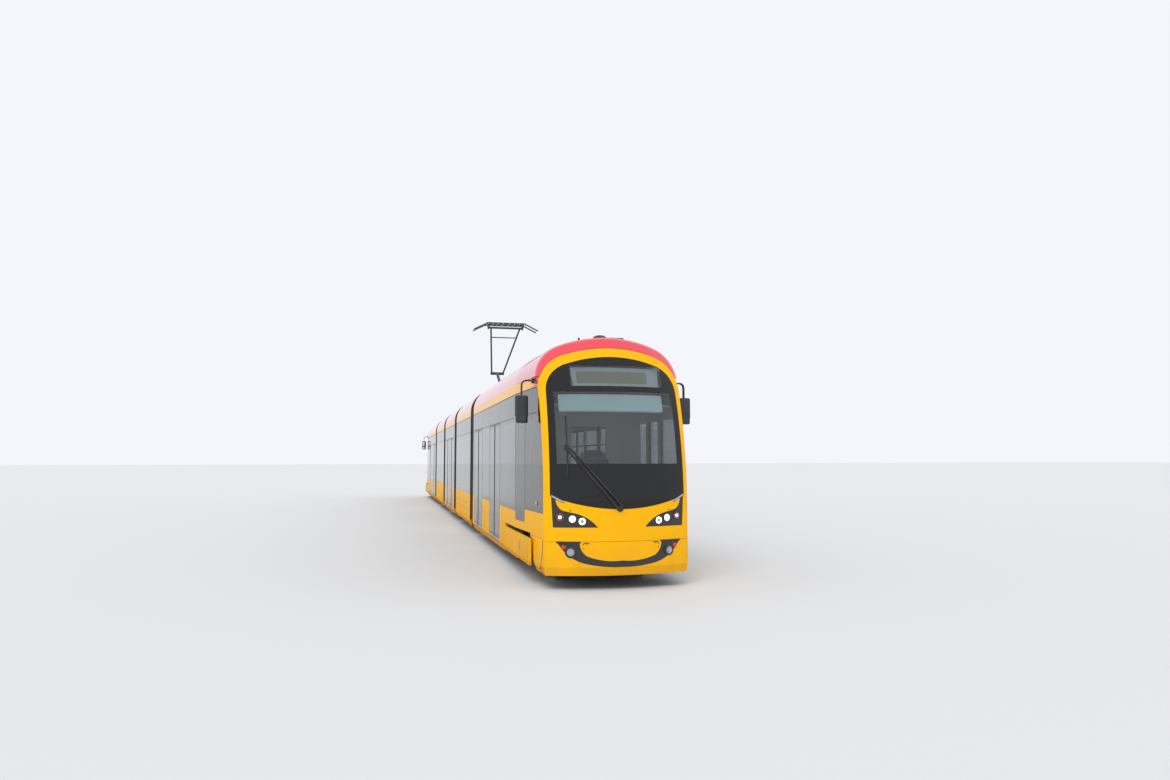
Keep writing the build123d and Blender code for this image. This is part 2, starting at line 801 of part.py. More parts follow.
# Roof fairings: the shoulders of the cross-section on the cantrails, closed by a crown at the cab
mask_seat = common(tapered_blank(NOSE_RADIUS, -SEAT_GAP), nose_waste(MASK_THICK))
fairing = {}
for section in (1, 2, 3):
    start, end = SECTION_START[section], SECTION_END[section]
    with BuildPart() as fairing[section]:
        if section == 1:
            add(crown_blank(end))
            add(crown_blank(end, FAIRING_THICK), mode=Mode.SUBTRACT)
            add(mask_seat, mode=Mode.SUBTRACT)
        else:
            add(outer[section])
            add(straight_blank(start, end, FAIRING_THICK), mode=Mode.SUBTRACT)
        add(block(start, end, FOOT_Z - 50, CANTRAIL_TOP_Z, WIDTH), mode=Mode.SUBTRACT)
        add(
            block(max(start, CROWN_LENGTH), end, CANTRAIL_TOP_Z, BIG, ROOF_OPENING_HALF),
            mode=Mode.SUBTRACT,
        )
save(fairing[3].part, "fairing_middle")
for section, name in ((1, "fairing"), (2, "fairing_bogie")):
    save(fairing[section].part, f"{name}_front")
    save(turned(fairing[section].part), f"{name}_rear")

# Front of the nose: mask with its ring, windscreen, lamps and bumper, cut from one curved slab
with BuildPart() as nose:
    add(rounded_front(tapered_blank(NOSE_RADIUS, tuck=0), 0, NOSE_EDGE_RADIUS))
    extrude(nose.faces().sort_by(Axis.Z)[0], amount=NOSE_LEAN_START_Z + 1 - FOOT_Z)
    bottom = nose.faces().sort_by(Axis.Z)[0]
    chin = bottom.edges().filter_by(lambda edge: edge.center().Y < along(NOSE_RADIUS) - 10)
    chamfer(chin, SILL_TUCK, SILL_Z - FOOT_Z, reference=bottom)
nose_blank = nose.part
slab = common(nose_blank, nose_waste(MASK_THICK - SEAT_GAP))
thin_slab = trimmed(nose_blank, nose_waste(LAMP_SET_BACK))
thin_slab = common(thin_slab, nose_waste(MASK_THICK - SEAT_GAP))


def lamp_outline(inset):
    """Outline of both headlamp housings: pointed inwards, swept up to the windscreen's corner."""
    low = height(LAMP_LOW_Z)
    top = height(SCREEN_CORNER_Z) - LAMP_DROP
    with BuildSketch(cross_plane(-300)) as outline:
        with BuildLine() as line:
            Polyline((LAMP_TIP_X, low), (960, low), (985, top), (922, top - 15))
            ThreePointArc((922, top - 15), (895, height(1150)), (840, height(1092)))
            Line((840, height(1092)), (720, height(1062)))
            ThreePointArc((720, height(1062)), (500, height(985)), (LAMP_TIP_X, low))
        make_face(line.line.edges())
        if inset:
            offset(amount=-inset)
        mirror(about=Plane.YZ)
    return outline.sketch


def grin_outline(inset):
    """Outline of the dark crescent in the bumper."""
    top = height(BUMPER_TOP_Z) + 50
    with BuildSketch(cross_plane(-300)) as outline:
        with BuildLine() as line:
            Line((0, height(300)), (0, height(391)))
            ThreePointArc((0, height(391)), (300, height(400)), (500, height(455)))
            ThreePointArc((500, height(455)), (570, height(530)), (600, height(640)))
            Polyline((600, height(640)), (600, top), (900, top), (900, height(640)))
            ThreePointArc((900, height(640)), (740, height(455)), (500, height(345)))
            ThreePointArc((500, height(345)), (260, height(308)), (0, height(300)))
        make_face(line.line.edges())
        mirror(about=Plane.YZ)
        if inset:
            offset(amount=-inset)
    return outline.sketch


def lamp_pockets(places, radius, depth_to):
    """Round sockets for lamps, as seen from ahead."""
    with BuildSketch(cross_plane(-300)) as outline:
        for x, z in places:
            with Locations((x, height(z)), (-x, height(z))):
                Circle(radius)
    return common(prism(outline.sketch), nose_waste(depth_to))


screen_cut = prism(screen_outline(0))
lamp_cut = prism(lamp_outline(0))
grin_cut = prism(grin_outline(0))
seam_low = BUMPER_TOP_Z - FRONT_GAP / 2
seam_high = BUMPER_TOP_Z + FRONT_GAP / 2
bumper_seams = common(
    side_blocks(
        -500, NOSE_RADIUS, 0, BUMPER_SEAM_TOP_Z, BUMPER_SEAM_X, BUMPER_SEAM_X + PANEL_SEAM,
    ),
    nose_waste(PANEL_SEAM_DEPTH),
)

with BuildPart() as mask:
    add(slab)
    add(block(-500, NOSE_RADIUS, 0, seam_high, WIDTH), mode=Mode.SUBTRACT)
    add(screen_cut, mode=Mode.SUBTRACT)
    add(lamp_cut, mode=Mode.SUBTRACT)
save(mask.part, "mask_front")
save(turned(mask.part), "mask_rear")

with BuildPart() as windscreen:
    add(common(slab, prism(screen_outline(FRONT_GAP))))
    add(nose_core(-GLASS_THICK), mode=Mode.SUBTRACT)

with BuildPart() as bumper:
    add(slab)
    add(block(-500, NOSE_RADIUS, seam_low, BIG, WIDTH), mode=Mode.SUBTRACT)
    add(grin_cut, mode=Mode.SUBTRACT)
    add(bumper_seams, mode=Mode.SUBTRACT)
save(bumper.part, "bumper_front")
save(turned(bumper.part), "bumper_rear")

with BuildPart() as lamps:
    add(common(thin_slab, prism(lamp_outline(FRONT_GAP))))
    grin = trimmed(
        common(thin_slab, prism(grin_outline(FRONT_GAP))),
        block(-500, NOSE_RADIUS, seam_low, BIG, WIDTH),
    )
    add(grin)
    add(lamp_pockets(HEADLAMPS, LAMP_RADIUS, LAMP_SET_BACK + 20), mode=Mode.SUBTRACT)
    add(lamp_pockets(FOG_LAMPS, FOG_LAMP_RADIUS, LAMP_SET_BACK + 20), mode=Mode.SUBTRACT)
save(lamps.part, "lamps_front")
save(turned(lamps.part), "lamps_rear")

# Door leaves, and the glass: flush side panes, panes of the doors and the windscreen
for section, names in ((1, ("front", "rear")), (2, ("bogie_front", "bogie_rear")), (3, ("middle",))):
    doorways = [(start, end) for number, start, end in DOORS if number == section]
    with BuildPart() as leaves:
        for start, end in doorways:
            add(leaf_pair(start, end))
    with BuildPart() as lights:
        add(common(skin[section], glass_marks(section)))
        for start, end in doorways:
            add(leaf_glass(start, end))
        if section == 1:
            add(windscreen.part)
    save(lights.part, f"glass_{names[0]}")
    if doorways:
        save(leaves.part, f"doors_{names[0]}")
    if len(names) == 2:
        save(turned(lights.part), f"glass_{names[1]}")
        if doorways:
            save(turned(leaves.part), f"doors_{names[1]}")

# Wiper: spindle and arm that follow the curve of the windscreen
with BuildSketch(cross_plane(-300)) as wiper_outline:
    pivot = (0, height(WIPER_PIVOT_Z))
    tip = (WIPER_TIP_X, height(WIPER_TIP_Z))
    with Locations(pivot):
        Circle(35)
    with Locations(((pivot[0] + tip[0]) / 2, (pivot[1] + tip[1]) / 2)):
        lean = degrees(atan2(tip[1] - pivot[1], tip[0] - pivot[0]))
        Rectangle(hypot(tip[0] - pivot[0], tip[1] - pivot[1]), 34, rotation=lean)
    with Locations((WIPER_TIP_X, height(WIPER_BLADE_MIDDLE_Z))):
        Rectangle(30, WIPER_BLADE_LENGTH)
with BuildPart() as wiper:
    add(trimmed(common(prism(wiper_outline.sketch), nose_core(30)), nose_core(8)))
    with BuildSketch(cross_plane(-8)):
        with Locations((0, height(WIPER_PIVOT_Z))):
            Circle(25)
    extrude(amount=-20)
    add(nose_core(SEAT_GAP), mode=Mode.SUBTRACT)
save(wiper.part, "wiper_front")
save(turned(wiper.part), "wiper_rear")

# Mirrors: a pod on each side, on a tube from the side of the ring
with BuildPart() as mirrors:
    for side in (-1, 1):
        with BuildSketch(Plane.XY.offset(height(MIRROR_LOW_Z))):
            with Locations((side * MIRROR_X, along(MIRROR_S))):
                RectangleRounded(MIRROR_WIDTH, MIRROR_DEPTH, 35)
        extrude(amount=MIRROR_HIGH_Z - MIRROR_LOW_Z)
        root = (side * MIRROR_ROOT_X, along(MIRROR_S), height(MIRROR_ROOT_Z))
        bend = (side * MIRROR_X, along(MIRROR_S), height(MIRROR_ROOT_Z))
        foot = (side * MIRROR_X, along(MIRROR_S), height(MIRROR_HIGH_Z - 50))
        with BuildLine():
            FilletPolyline(root, bend, foot, radius=60)
        with BuildSketch(Plane(root, z_dir=(side, 0, 0))):
            Circle(MIRROR_TUBE_RADIUS)
        sweep()
    add(tapered_blank(NOSE_RADIUS, -SEAT_GAP), mode=Mode.SUBTRACT)
save(mirrors.part, "mirrors_front")
save(turned(mirrors.part), "mirrors_rear")

# Bellows between the sections, one closed tunnel each
for name, joint in (("outer_front", OUTER_JOINT_S), ("inner_front", INNER_JOINT_S)):
    near = joint - JOINT_GAP / 2
    far = joint + JOINT_GAP / 2
    with BuildPart() as bellows:
        with BuildSketch(cross_plane(near + BELLOWS_GAP)):
            full_arch(BELLOWS_INSET, BELLOWS_FOOT_Z, 0)
        extrude(amount=near + BELLOWS_GAP - far)
        add(block(near, far, BELLOWS_TOP_Z, BIG, WIDTH), mode=Mode.SUBTRACT)
        add(
            block(near, far, 0, GANGWAY_TOP_Z, GANGWAY_HALF_WIDTH),
            mode=Mode.SUBTRACT,
        )
    save(bellows.part, f"bellows_{name}")
    save(turned(bellows.part), f"bellows_{name}".replace("front", "rear"))


# Wheelset: axle and two wheels, turned as one
def wheelset(centre):
    """Half section of the axle and a wheel, revolved about the axle."""
    tread = WHEEL_RADIUS
    flange = WHEEL_RADIUS + FLANGE_DEPTH
    back = WHEEL_BACK
    face = WHEEL_BACK + WHEEL_WIDTH
    web_in = back + (WHEEL_WIDTH - WEB_THICK) / 2
    web_out = web_in + WEB_THICK
    rim = tread - RIM_THICK
    with BuildPart() as piece:
        with BuildSketch(Plane.XY):
            with BuildLine():
                Polyline(
                    (0, 0),
                    (0, AXLE_RADIUS),
                    (back - 15, AXLE_RADIUS),
                    (back - 15, HUB_RADIUS),
                    (web_in, HUB_RADIUS),
                    (web_in, rim),
                    (back, rim),
                    (back, flange - 8),
                    (back + 8, flange),
                    (back + FLANGE_WIDTH - 12, flange),
                    (back + FLANGE_WIDTH, tread),
                    (face - 5, tread),
                    (face, tread - 5),
                    (face, rim),
                    (web_out, rim),
                    (web_out, HUB_RADIUS),
                    (face + 10, HUB_RADIUS),
                    (face + 10, JOURNAL_RADIUS),
                    (AXLE_HALF_LENGTH, JOURNAL_RADIUS),
                    (AXLE_HALF_LENGTH, 0),
                    close=True,
                )
            make_face()
            mirror(about=Plane.YZ)
        revolve(axis=Axis.X)
    return piece.part.moved(Location((0, along(centre), height(WHEEL_RADIUS))))


# Bogie frame: outside beams over the axle boxes, cross members, springs and a centre pivot
def bogie_frame(centre):
    """Frame of one bogie, with bored axle boxes."""
    axle_z = height(WHEEL_RADIUS)
    half = WHEELBASE / 2
    with BuildPart() as piece:
        add(
            side_blocks(
                centre - half - AXLE_BOX_HALF, centre + half + AXLE_BOX_HALF,
                FRAME_BEAM_LOW_Z, FRAME_BEAM_TOP_Z,
                FRAME_BEAM_X - FRAME_BEAM_WIDTH / 2, FRAME_BEAM_X + FRAME_BEAM_WIDTH / 2,
            )
        )
        for axle in (centre - half, centre + half):
            add(
                side_blocks(
                    axle - AXLE_BOX_HALF, axle + AXLE_BOX_HALF,
                    WHEEL_RADIUS - AXLE_BOX_HALF, FRAME_BEAM_LOW_Z,
                    FRAME_BEAM_X - FRAME_BEAM_WIDTH / 2, FRAME_BEAM_X + FRAME_BEAM_WIDTH / 2,
                )
            )
        for offset in (-CROSS_OFFSET, CROSS_OFFSET):
            low = centre + offset - CROSS_WIDTH / 2
            high = centre + offset + CROSS_WIDTH / 2
            add(block(low, high, CROSS_LOW_Z, CROSS_TOP_Z, FRAME_BEAM_X))
        add(
            side_blocks(
                centre - CROSS_OFFSET - CROSS_WIDTH / 2, centre + CROSS_OFFSET + CROSS_WIDTH / 2,
                CROSS_LOW_Z, FRAME_BEAM_TOP_Z,
                FRAME_BEAM_X - FRAME_BEAM_WIDTH / 2, FRAME_BEAM_X + FRAME_BEAM_WIDTH / 2,
            )
        )
        add(block(centre - CROSS_OFFSET, centre + CROSS_OFFSET, CROSS_LOW_Z, CROSS_TOP_Z, 200))
        with BuildSketch(Plane.XY.offset(height(CROSS_TOP_Z))):
            with Locations((0, along(centre))):
                Circle(160)
        extrude(amount=AISLE_UNDER_Z - SEAT_GAP - CROSS_TOP_Z)
        with BuildSketch(Plane.XY.offset(height(FRAME_BEAM_TOP_Z))):
            for side in (-1, 1):
                for offset in (-SPRING_OFFSET, SPRING_OFFSET):
                    with Locations((side * SPRING_X, along(centre) + offset)):
                        Circle(SPRING_RADIUS)
        extrude(amount=WELL_TOP_Z - SEAT_GAP - FRAME_BEAM_TOP_Z)
        add(
            side_blocks(
                centre - BRAKE_LENGTH / 2, centre + BRAKE_LENGTH / 2,
                BRAKE_LOW_Z, CROSS_LOW_Z, BRAKE_X - BRAKE_WIDTH / 2, BRAKE_X + BRAKE_WIDTH / 2,
            )
        )
        with BuildSketch(Plane.YZ.offset(-AXLE_HALF_LENGTH - 10)):
            for axle in (centre - half, centre + half):
                with Locations((along(axle), axle_z)):
                    Circle(JOURNAL_RADIUS + JOURNAL_CLEARANCE)
        extrude(amount=2 * AXLE_HALF_LENGTH + 20, mode=Mode.SUBTRACT)
    return piece.part


bogie_number = 0
axle_number = 0
for centre in (END_BOGIE_S, INNER_BOGIE_S, LENGTH - INNER_BOGIE_S, LENGTH - END_BOGIE_S):
    bogie_number = bogie_number + 1
    save(bogie_frame(centre), f"bogie_frame_{bogie_number}")
    for axle in (centre - WHEELBASE / 2, centre + WHEELBASE / 2):
        axle_number = axle_number + 1
        save(wheelset(axle), f"wheelset_{axle_number}")


def rod(start, end, radius):
    """Round bar between two points."""
    run = Vector(*end) - Vector(*start)
    with BuildPart() as piece:
        with BuildSketch(Plane(start, z_dir=run)):
            Circle(radius)
        extrude(amount=run.length)
    return piece.part


def cross_rod(setback, above_rail, low_x, high_x, radius):
    """Round bar that lies across the tram."""
    y, z = along(setback), height(above_rail)
    return rod((low_x, y, z), (high_x, y, z), radius)


def roof_box(start, end, half_width, box_height):
    """Equipment case on the sunk roof deck, with rounded upper edges and two fan wells."""
    top = ROOF_DECK_Z + box_height
    with BuildPart() as piece:
        add(block(start, end, ROOF_DECK_Z, top, half_width))
        fillet(piece.edges().group_by(Axis.Z)[-1], radius=BOX_EDGE_RADIUS)
        with BuildSketch(Plane.XY.offset(height(top))):
            for share in (0.25, 0.75):
                with Locations((0, along(start + share * (end - start)))):
                    Circle(FAN_RADIUS)
                    Circle(FAN_RADIUS / 4, mode=Mode.SUBTRACT)
        extrude(amount=-FAN_DEPTH, mode=Mode.SUBTRACT)
    return piece.part


def roof_boxes(section):
    """All the equipment cases of one section."""
    with BuildPart() as piece:
        for number, start, end, half_width, box_height in ROOF_BOXES:
            if number == section:
                add(roof_box(start, end, half_width, box_height))
    return piece.part


# Cases on the roof; those of the first section serve the last one too, turned round
save(roof_boxes(1), "roof_cases_front")
save(turned(roof_boxes(1)), "roof_cases_rear")
save(roof_boxes(3), "roof_cases_middle")
save(turned(roof_boxes(4)), "roof_cases_bogie_rear")

# Pantograph base: case, insulators, frame and the ears of the lower hinge
bore = PAN_PIN_RADIUS + PAN_PIN_CLEARANCE
case_top = ROOF_DECK_Z + PAN_CASE_HEIGHT
frame_top = PAN_FRAME_LOW_Z + PAN_FRAME_THICK
half_bar = PAN_FRAME_THICK / 2
with BuildPart() as pantograph_base:
    add(roof_boxes(2))
    add(block(PAN_FRAME_START - 150, PAN_FRAME_END + 150, ROOF_DECK_Z, case_top, PAN_CASE_HALF))
    with BuildSketch(Plane.XY.offset(height(case_top))):
        for side in (-1, 1):
            for setback in (PAN_FRAME_START + 60, PAN_FRAME_END - 60):
                with Locations((side * PAN_FRAME_X, along(setback))):
                    Circle(INSULATOR_RADIUS)
    extrude(amount=PAN_FRAME_LOW_Z - case_top)
    add(
        side_blocks(
            PAN_FRAME_START, PAN_FRAME_END, PAN_FRAME_LOW_Z, frame_top,
            PAN_FRAME_X - half_bar, PAN_FRAME_X + half_bar,
        )
    )
    for setback in (PAN_FRAME_START + half_bar, PAN_BASE_S, PAN_FRAME_END - half_bar):
        add(
            block(setback - half_bar, setback + half_bar, PAN_FRAME_LOW_Z, frame_top, PAN_FRAME_X)
        )
    for side in (-1, 1):
        low_x, high_x = sorted((side * PAN_EAR_X, side * (PAN_EAR_X + PAN_EAR_THICK)))
        add(cross_rod(PAN_BASE_S, PAN_BASE_Z, low_x, high_x, PAN_EYE_RADIUS))
    add(
        side_blocks(
            PAN_BASE_S - PAN_EYE_RADIUS, PAN_BASE_S + PAN_EYE_RADIUS,
            PAN_FRAME_LOW_Z, PAN_BASE_Z, PAN_EAR_X, PAN_EAR_X + PAN_EAR_THICK,
        )
    )
    reach = PAN_EAR_X + 2 * PAN_EAR_THICK
    add(cross_rod(PAN_BASE_S, PAN_BASE_Z, -reach, reach, bore), mode=Mode.SUBTRACT)
save(pantograph_base.part, "pantograph_base")

# Lower arm: cross tube on its shaft, one thick tube, and a bored hub at the knee
knee = (0, along(PAN_KNEE_S), height(PAN_KNEE_Z))
with BuildPart() as lower_arm:
    shaft_reach = PAN_EAR_X + PAN_EAR_THICK + PAN_GAP
    tube_reach = PAN_EAR_X - PAN_GAP
    add(cross_rod(PAN_BASE_S, PAN_BASE_Z, -shaft_reach, shaft_reach, PAN_PIN_RADIUS))
    add(cross_rod(PAN_BASE_S, PAN_BASE_Z, -tube_reach, tube_reach, PAN_EYE_RADIUS))
    add(rod((0, along(PAN_BASE_S), height(PAN_BASE_Z)), knee, PAN_LOWER_TUBE_RADIUS))
    add(cross_rod(PAN_KNEE_S, PAN_KNEE_Z, -PAN_HUB_HALF, PAN_HUB_HALF, PAN_EYE_RADIUS))
    add(
        cross_rod(PAN_KNEE_S, PAN_KNEE_Z, -2 * PAN_HUB_HALF, 2 * PAN_HUB_HALF, bore),
        mode=Mode.SUBTRACT,
    )
save(lower_arm.part, "pantograph_lower_arm")

# Upper arm: shaft at the knee, two tubes that spread upwards, a cross bar and the head shaft
bar_x = PAN_KNEE_X + PAN_BAR_SHARE * (PAN_HEAD_X - PAN_KNEE_X)
bar_s = PAN_KNEE_S + PAN_BAR_SHARE * (PAN_HEAD_S - PAN_KNEE_S)
bar_z = PAN_KNEE_Z + PAN_BAR_SHARE * (PAN_HEAD_Z - PAN_KNEE_Z)
with BuildPart() as upper_arm:
    shaft_reach = PAN_KNEE_X + PAN_EAR_THICK
    add(cross_rod(PAN_KNEE_S, PAN_KNEE_Z, -shaft_reach, shaft_reach, PAN_PIN_RADIUS))
    for side in (-1, 1):
        low_x, high_x = sorted((side * (PAN_HUB_HALF + PAN_GAP), side * shaft_reach))
        add(cross_rod(PAN_KNEE_S, PAN_KNEE_Z, low_x, high_x, PAN_EYE_RADIUS))
        add(
            rod(
                (side * PAN_KNEE_X, along(PAN_KNEE_S), height(PAN_KNEE_Z)),
                (side * PAN_HEAD_X, along(PAN_HEAD_S), height(PAN_HEAD_Z)),
                PAN_UPPER_TUBE_RADIUS,
            )
        )
    add(cross_rod(bar_s, bar_z, -bar_x, bar_x, PAN_BAR_RADIUS))
    tube_reach = PAN_BRACKET_X - PAN_GAP
    shaft_reach = PAN_BRACKET_X + PAN_EAR_THICK + PAN_GAP
    add(cross_rod(PAN_HEAD_S, PAN_HEAD_Z, -tube_reach, tube_reach, PAN_HEAD_TUBE_RADIUS))
    add(cross_rod(PAN_HEAD_S, PAN_HEAD_Z, -shaft_reach, shaft_reach, PAN_PIN_RADIUS))
save(upper_arm.part, "pantograph_upper_arm")

# Head: two contact strips with drooping horns, on a bracket each side
strip_z = height(PAN_STRIP_Z)
with BuildPart() as head:
    for side in (-1, 1):
        low_x = min(side * PAN_BRACKET_X, side * (PAN_BRACKET_X + PAN_EAR_THICK))
        with BuildSketch(Plane.YZ.offset(low_x)):
            with BuildLine():
                Polyline(
                    (along(PAN_HEAD_S) - PAN_EYE_RADIUS, height(PAN_HEAD_Z) - PAN_EYE_RADIUS),
                    (along(PAN_HEAD_S) + PAN_EYE_RADIUS, height(PAN_HEAD_Z) - PAN_EYE_RADIUS),
                    (along(PAN_HEAD_S) + PAN_STRIP_OFFSET, strip_z),
                    (along(PAN_HEAD_S) - PAN_STRIP_OFFSET, strip_z),
                    close=True,
                )
            make_face()
        extrude(amount=PAN_EAR_THICK)
    for offset_s in (-PAN_STRIP_OFFSET, PAN_STRIP_OFFSET):
        with BuildLine(cross_plane(PAN_HEAD_S + offset_s)) as strip_path:
            FilletPolyline(
                (-PAN_HORN_X, height(PAN_HORN_Z)),
                (-PAN_STRIP_X, strip_z),
                (PAN_STRIP_X, strip_z),
                (PAN_HORN_X, height(PAN_HORN_Z)),
                radius=PAN_HORN_BEND,
            )
        with BuildSketch(Plane(strip_path.line @ 0, x_dir=(0, 1, 0), z_dir=strip_path.line % 0)):
            Rectangle(PAN_STRIP_WIDTH, PAN_STRIP_THICK)
        sweep(path=strip_path.line)
    add(
        cross_rod(PAN_HEAD_S, PAN_HEAD_Z, -PAN_HORN_X, PAN_HORN_X, bore),
        mode=Mode.SUBTRACT,
    )
save(head.part, "pantograph_head")


def seat(setback, facing, base, x):
    """Two-place seat: pedestal, cushion and leaning back, seen from the side."""
    foot = height(base)
    top = foot + SEAT_HEIGHT[base]
    y = along(setback)
    with BuildPart() as piece:
        with BuildSketch(Plane.YZ.offset(x - SEAT_WIDTH / 2)):
            with BuildLine():
                Polyline(
                    (y, foot),
                    (y + facing * (SEAT_DEPTH - 80), foot),
                    (y + facing * SEAT_DEPTH, top - 50),
                    (y + facing * SEAT_DEPTH, top),
                    (y + facing * SEAT_BACK_THICK, top - 15),
                    (y + facing * (SEAT_BACK_THICK - 50), top + SEAT_BACK_HEIGHT),
                    (y - facing * 50, top + SEAT_BACK_HEIGHT),
                    close=True,
                )
            make_face()
        extrude(amount=SEAT_WIDTH)
    return piece.part


def saloon_fittings(section):
    """Seats and upright poles of one section."""
    with BuildPart() as piece:
        for number, setback, facing, base in SEATS:
            if number == section:
                for side in (-1, 1):
                    add(seat(setback, facing, base, side * SEAT_X))
        for number, setback, base in POLES:
            if number == section:
                for side in (-1, 1):
                    y = along(setback)
                    foot = (side * POLE_X, y, height(base))
                    add(rod(foot, (side * POLE_X, y, height(CEILING_Z) - SEAT_GAP), POLE_RADIUS))
    return piece.part


# Cab: desk across the nose and a chair on its column
with BuildPart() as cab_fittings:
    with BuildSketch(Plane.YZ.offset(-DESK_HALF_WIDTH)):
        with BuildLine():
            Polyline(
                (along(DESK_START), height(CAB_FLOOR_Z)),
                (along(DESK_END - 150), height(CAB_FLOOR_Z)),
                (along(DESK_END), height(DESK_REAR_Z)),
                (along(DESK_START), height(DESK_FRONT_Z)),
                close=True,
            )
        make_face()
    extrude(amount=2 * DESK_HALF_WIDTH)
    with BuildSketch(Plane.XY.offset(height(CAB_FLOOR_Z))):
        with Locations((0, along(CHAIR_S) - 220)):
            Circle(60)
    extrude(amount=CHAIR_HEIGHT)
    with BuildSketch(Plane.YZ.offset(-CHAIR_WIDTH / 2)):
        y, z = along(CHAIR_S), height(CAB_FLOOR_Z) + CHAIR_HEIGHT
        with BuildLine():
            Polyline(
                (y, z - 60),
                (y - 460, z - 60),
                (y - 470, z + 30),
                (y - 110, z + 20),
                (y - 40, z + 650),
                (y + 50, z + 640),
                close=True,
            )
        make_face()
    extrude(amount=CHAIR_WIDTH)
with BuildPart() as interior_end:
    add(saloon_fittings(1))
    add(cab_fittings.part)
save(interior_end.part, "interior_front")
save(turned(interior_end.part), "interior_rear")
save(saloon_fittings(2), "interior_bogie_front")
save(turned(saloon_fittings(2)), "interior_bogie_rear")
save(saloon_fittings(3), "interior_middle")
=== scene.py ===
import math

import bmesh
import bpy
from mathutils import Matrix, Vector


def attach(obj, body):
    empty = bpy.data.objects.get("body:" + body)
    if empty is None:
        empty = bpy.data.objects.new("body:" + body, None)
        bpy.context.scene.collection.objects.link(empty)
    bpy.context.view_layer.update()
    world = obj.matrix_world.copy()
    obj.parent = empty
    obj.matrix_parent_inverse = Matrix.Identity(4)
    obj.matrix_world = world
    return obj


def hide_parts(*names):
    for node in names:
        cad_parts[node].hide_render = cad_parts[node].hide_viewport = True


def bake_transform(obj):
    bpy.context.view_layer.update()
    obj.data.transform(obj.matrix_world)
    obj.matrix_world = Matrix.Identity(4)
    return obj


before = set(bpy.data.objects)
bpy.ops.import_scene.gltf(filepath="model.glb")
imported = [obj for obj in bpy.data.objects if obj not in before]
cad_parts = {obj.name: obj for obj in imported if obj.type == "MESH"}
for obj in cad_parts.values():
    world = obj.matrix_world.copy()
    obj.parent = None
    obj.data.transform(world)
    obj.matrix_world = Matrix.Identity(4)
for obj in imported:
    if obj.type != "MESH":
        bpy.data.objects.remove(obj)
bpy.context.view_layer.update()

# The view: a camera standing on the platform side of the nose, at eye height, looking past
# the front corner. The floor is plain and pale, and one soft sun stands in for a grey sky.
EYE = (-3.297, -28.028, 1.821)
EYE_TURN = math.radians(13.45)
EYE_LIFT = math.radians(4.77)
EYE_ROLL = 0.0017
LENS = 25.88
FLOOR_REACH = 400
FLOOR_COLOUR = (0.72, 0.72, 0.71, 1)
SKY_COLOUR = (0.93, 0.95, 1.0, 1)
SKY_LIGHT = 0.88
SKY_SEEN = 0.97
SUN_LIGHT = 1.25
SUN_SOFTNESS = math.radians(35)
SUN_ANGLES = (math.radians(42), math.radians(8), math.radians(-38))


def feed(tree, socket, value):
    """Gives a socket its value, or links it to the socket that feeds it."""
    if isinstance(value, bpy.types.NodeSocket):
        tree.links.new(value, socket)
    else:
        socket.default_value = value


def wire(tree, kind, inputs=None, **settings):
    """A new shader node; inputs gives the value of a socket or the socket that feeds it."""
    node = tree.nodes.new("ShaderNode" + kind)
    for setting, value in settings.items():
        setattr(node, setting, value)
    for socket, value in (inputs or {}).items():
        feed(tree, node.inputs[socket], value)
    return node


def maths(tree, operation, *terms):
    """The result socket of a Math node."""
    return wire(tree, "Math", dict(enumerate(terms)), operation=operation).outputs[0]


camera = bpy.data.objects.new("camera", bpy.data.cameras.new("camera"))
camera.data.lens = LENS
camera.data.sensor_width = 36
camera.data.clip_end = 500
camera.location = EYE
camera.rotation_euler = (math.radians(90) + EYE_LIFT, EYE_ROLL, -EYE_TURN)
bpy.context.collection.objects.link(camera)
bpy.context.scene.camera = camera
bpy.context.scene.view_settings.view_transform = "Standard"

sun = bpy.data.objects.new("sun", bpy.data.lights.new("sun", "SUN"))
sun.data.energy = SUN_LIGHT
sun.data.angle = SUN_SOFTNESS
sun.rotation_euler = SUN_ANGLES
sun.visible_glossy = False
sun.visible_transmission = False
bpy.context.collection.objects.link(sun)

sky = bpy.data.worlds.new("sky")
sky.use_nodes = True
bpy.context.scene.world = sky
nodes = sky.node_tree
ray = wire(nodes, "LightPath").outputs
seen = maths(nodes, "MAXIMUM", ray["Is Camera Ray"], ray["Is Glossy Ray"])
seen = maths(nodes, "MAXIMUM", seen, ray["Is Transmission Ray"])
strength = wire(nodes, "MapRange", {"Value": seen, "To Min": SKY_LIGHT, "To Max": SKY_SEEN})
backdrop = nodes.nodes["Background"]
feed(nodes, backdrop.inputs["Color"], SKY_COLOUR)
feed(nodes, backdrop.inputs["Strength"], strength.outputs["Result"])

floor_mesh = bpy.data.meshes.new("floor")
corners = [(-FLOOR_REACH, -FLOOR_REACH, 0), (FLOOR_REACH, -FLOOR_REACH, 0),
           (FLOOR_REACH, FLOOR_REACH, 0), (-FLOOR_REACH, FLOOR_REACH, 0)]
floor_mesh.from_pydata(corners, [], [(0, 1, 2, 3)])
floor = bpy.data.objects.new("floor", floor_mesh)
bpy.context.collection.objects.link(floor)
floor_paint = bpy.data.materials.new("floor_paint")
floor_paint.use_nodes = True
shader = floor_paint.node_tree.nodes["Principled BSDF"]
shader.inputs["Base Color"].default_value = FLOOR_COLOUR
shader.inputs["Roughness"].default_value = 0.85
floor_mesh.materials.append(floor_paint)

# Wheelsets and bogies: rolled steel wheels pressed on their axles, in a welded frame painted grey.
# Brake dust browns everything near the wheels, and only the treads and flanges run bright.
RAIL = 0.025
HALF_LENGTH = 16.5
WHEEL_RADIUS = 0.300
WHEEL_BOX = 0.650
BOGIE_GREY = (0.075, 0.078, 0.082, 1)
AXLE_GREY = (0.10, 0.095, 0.09, 1)
BRAKE_DUST = (0.105, 0.062, 0.038, 1)
TREAD_STEEL = (0.58, 0.57, 0.55, 1)


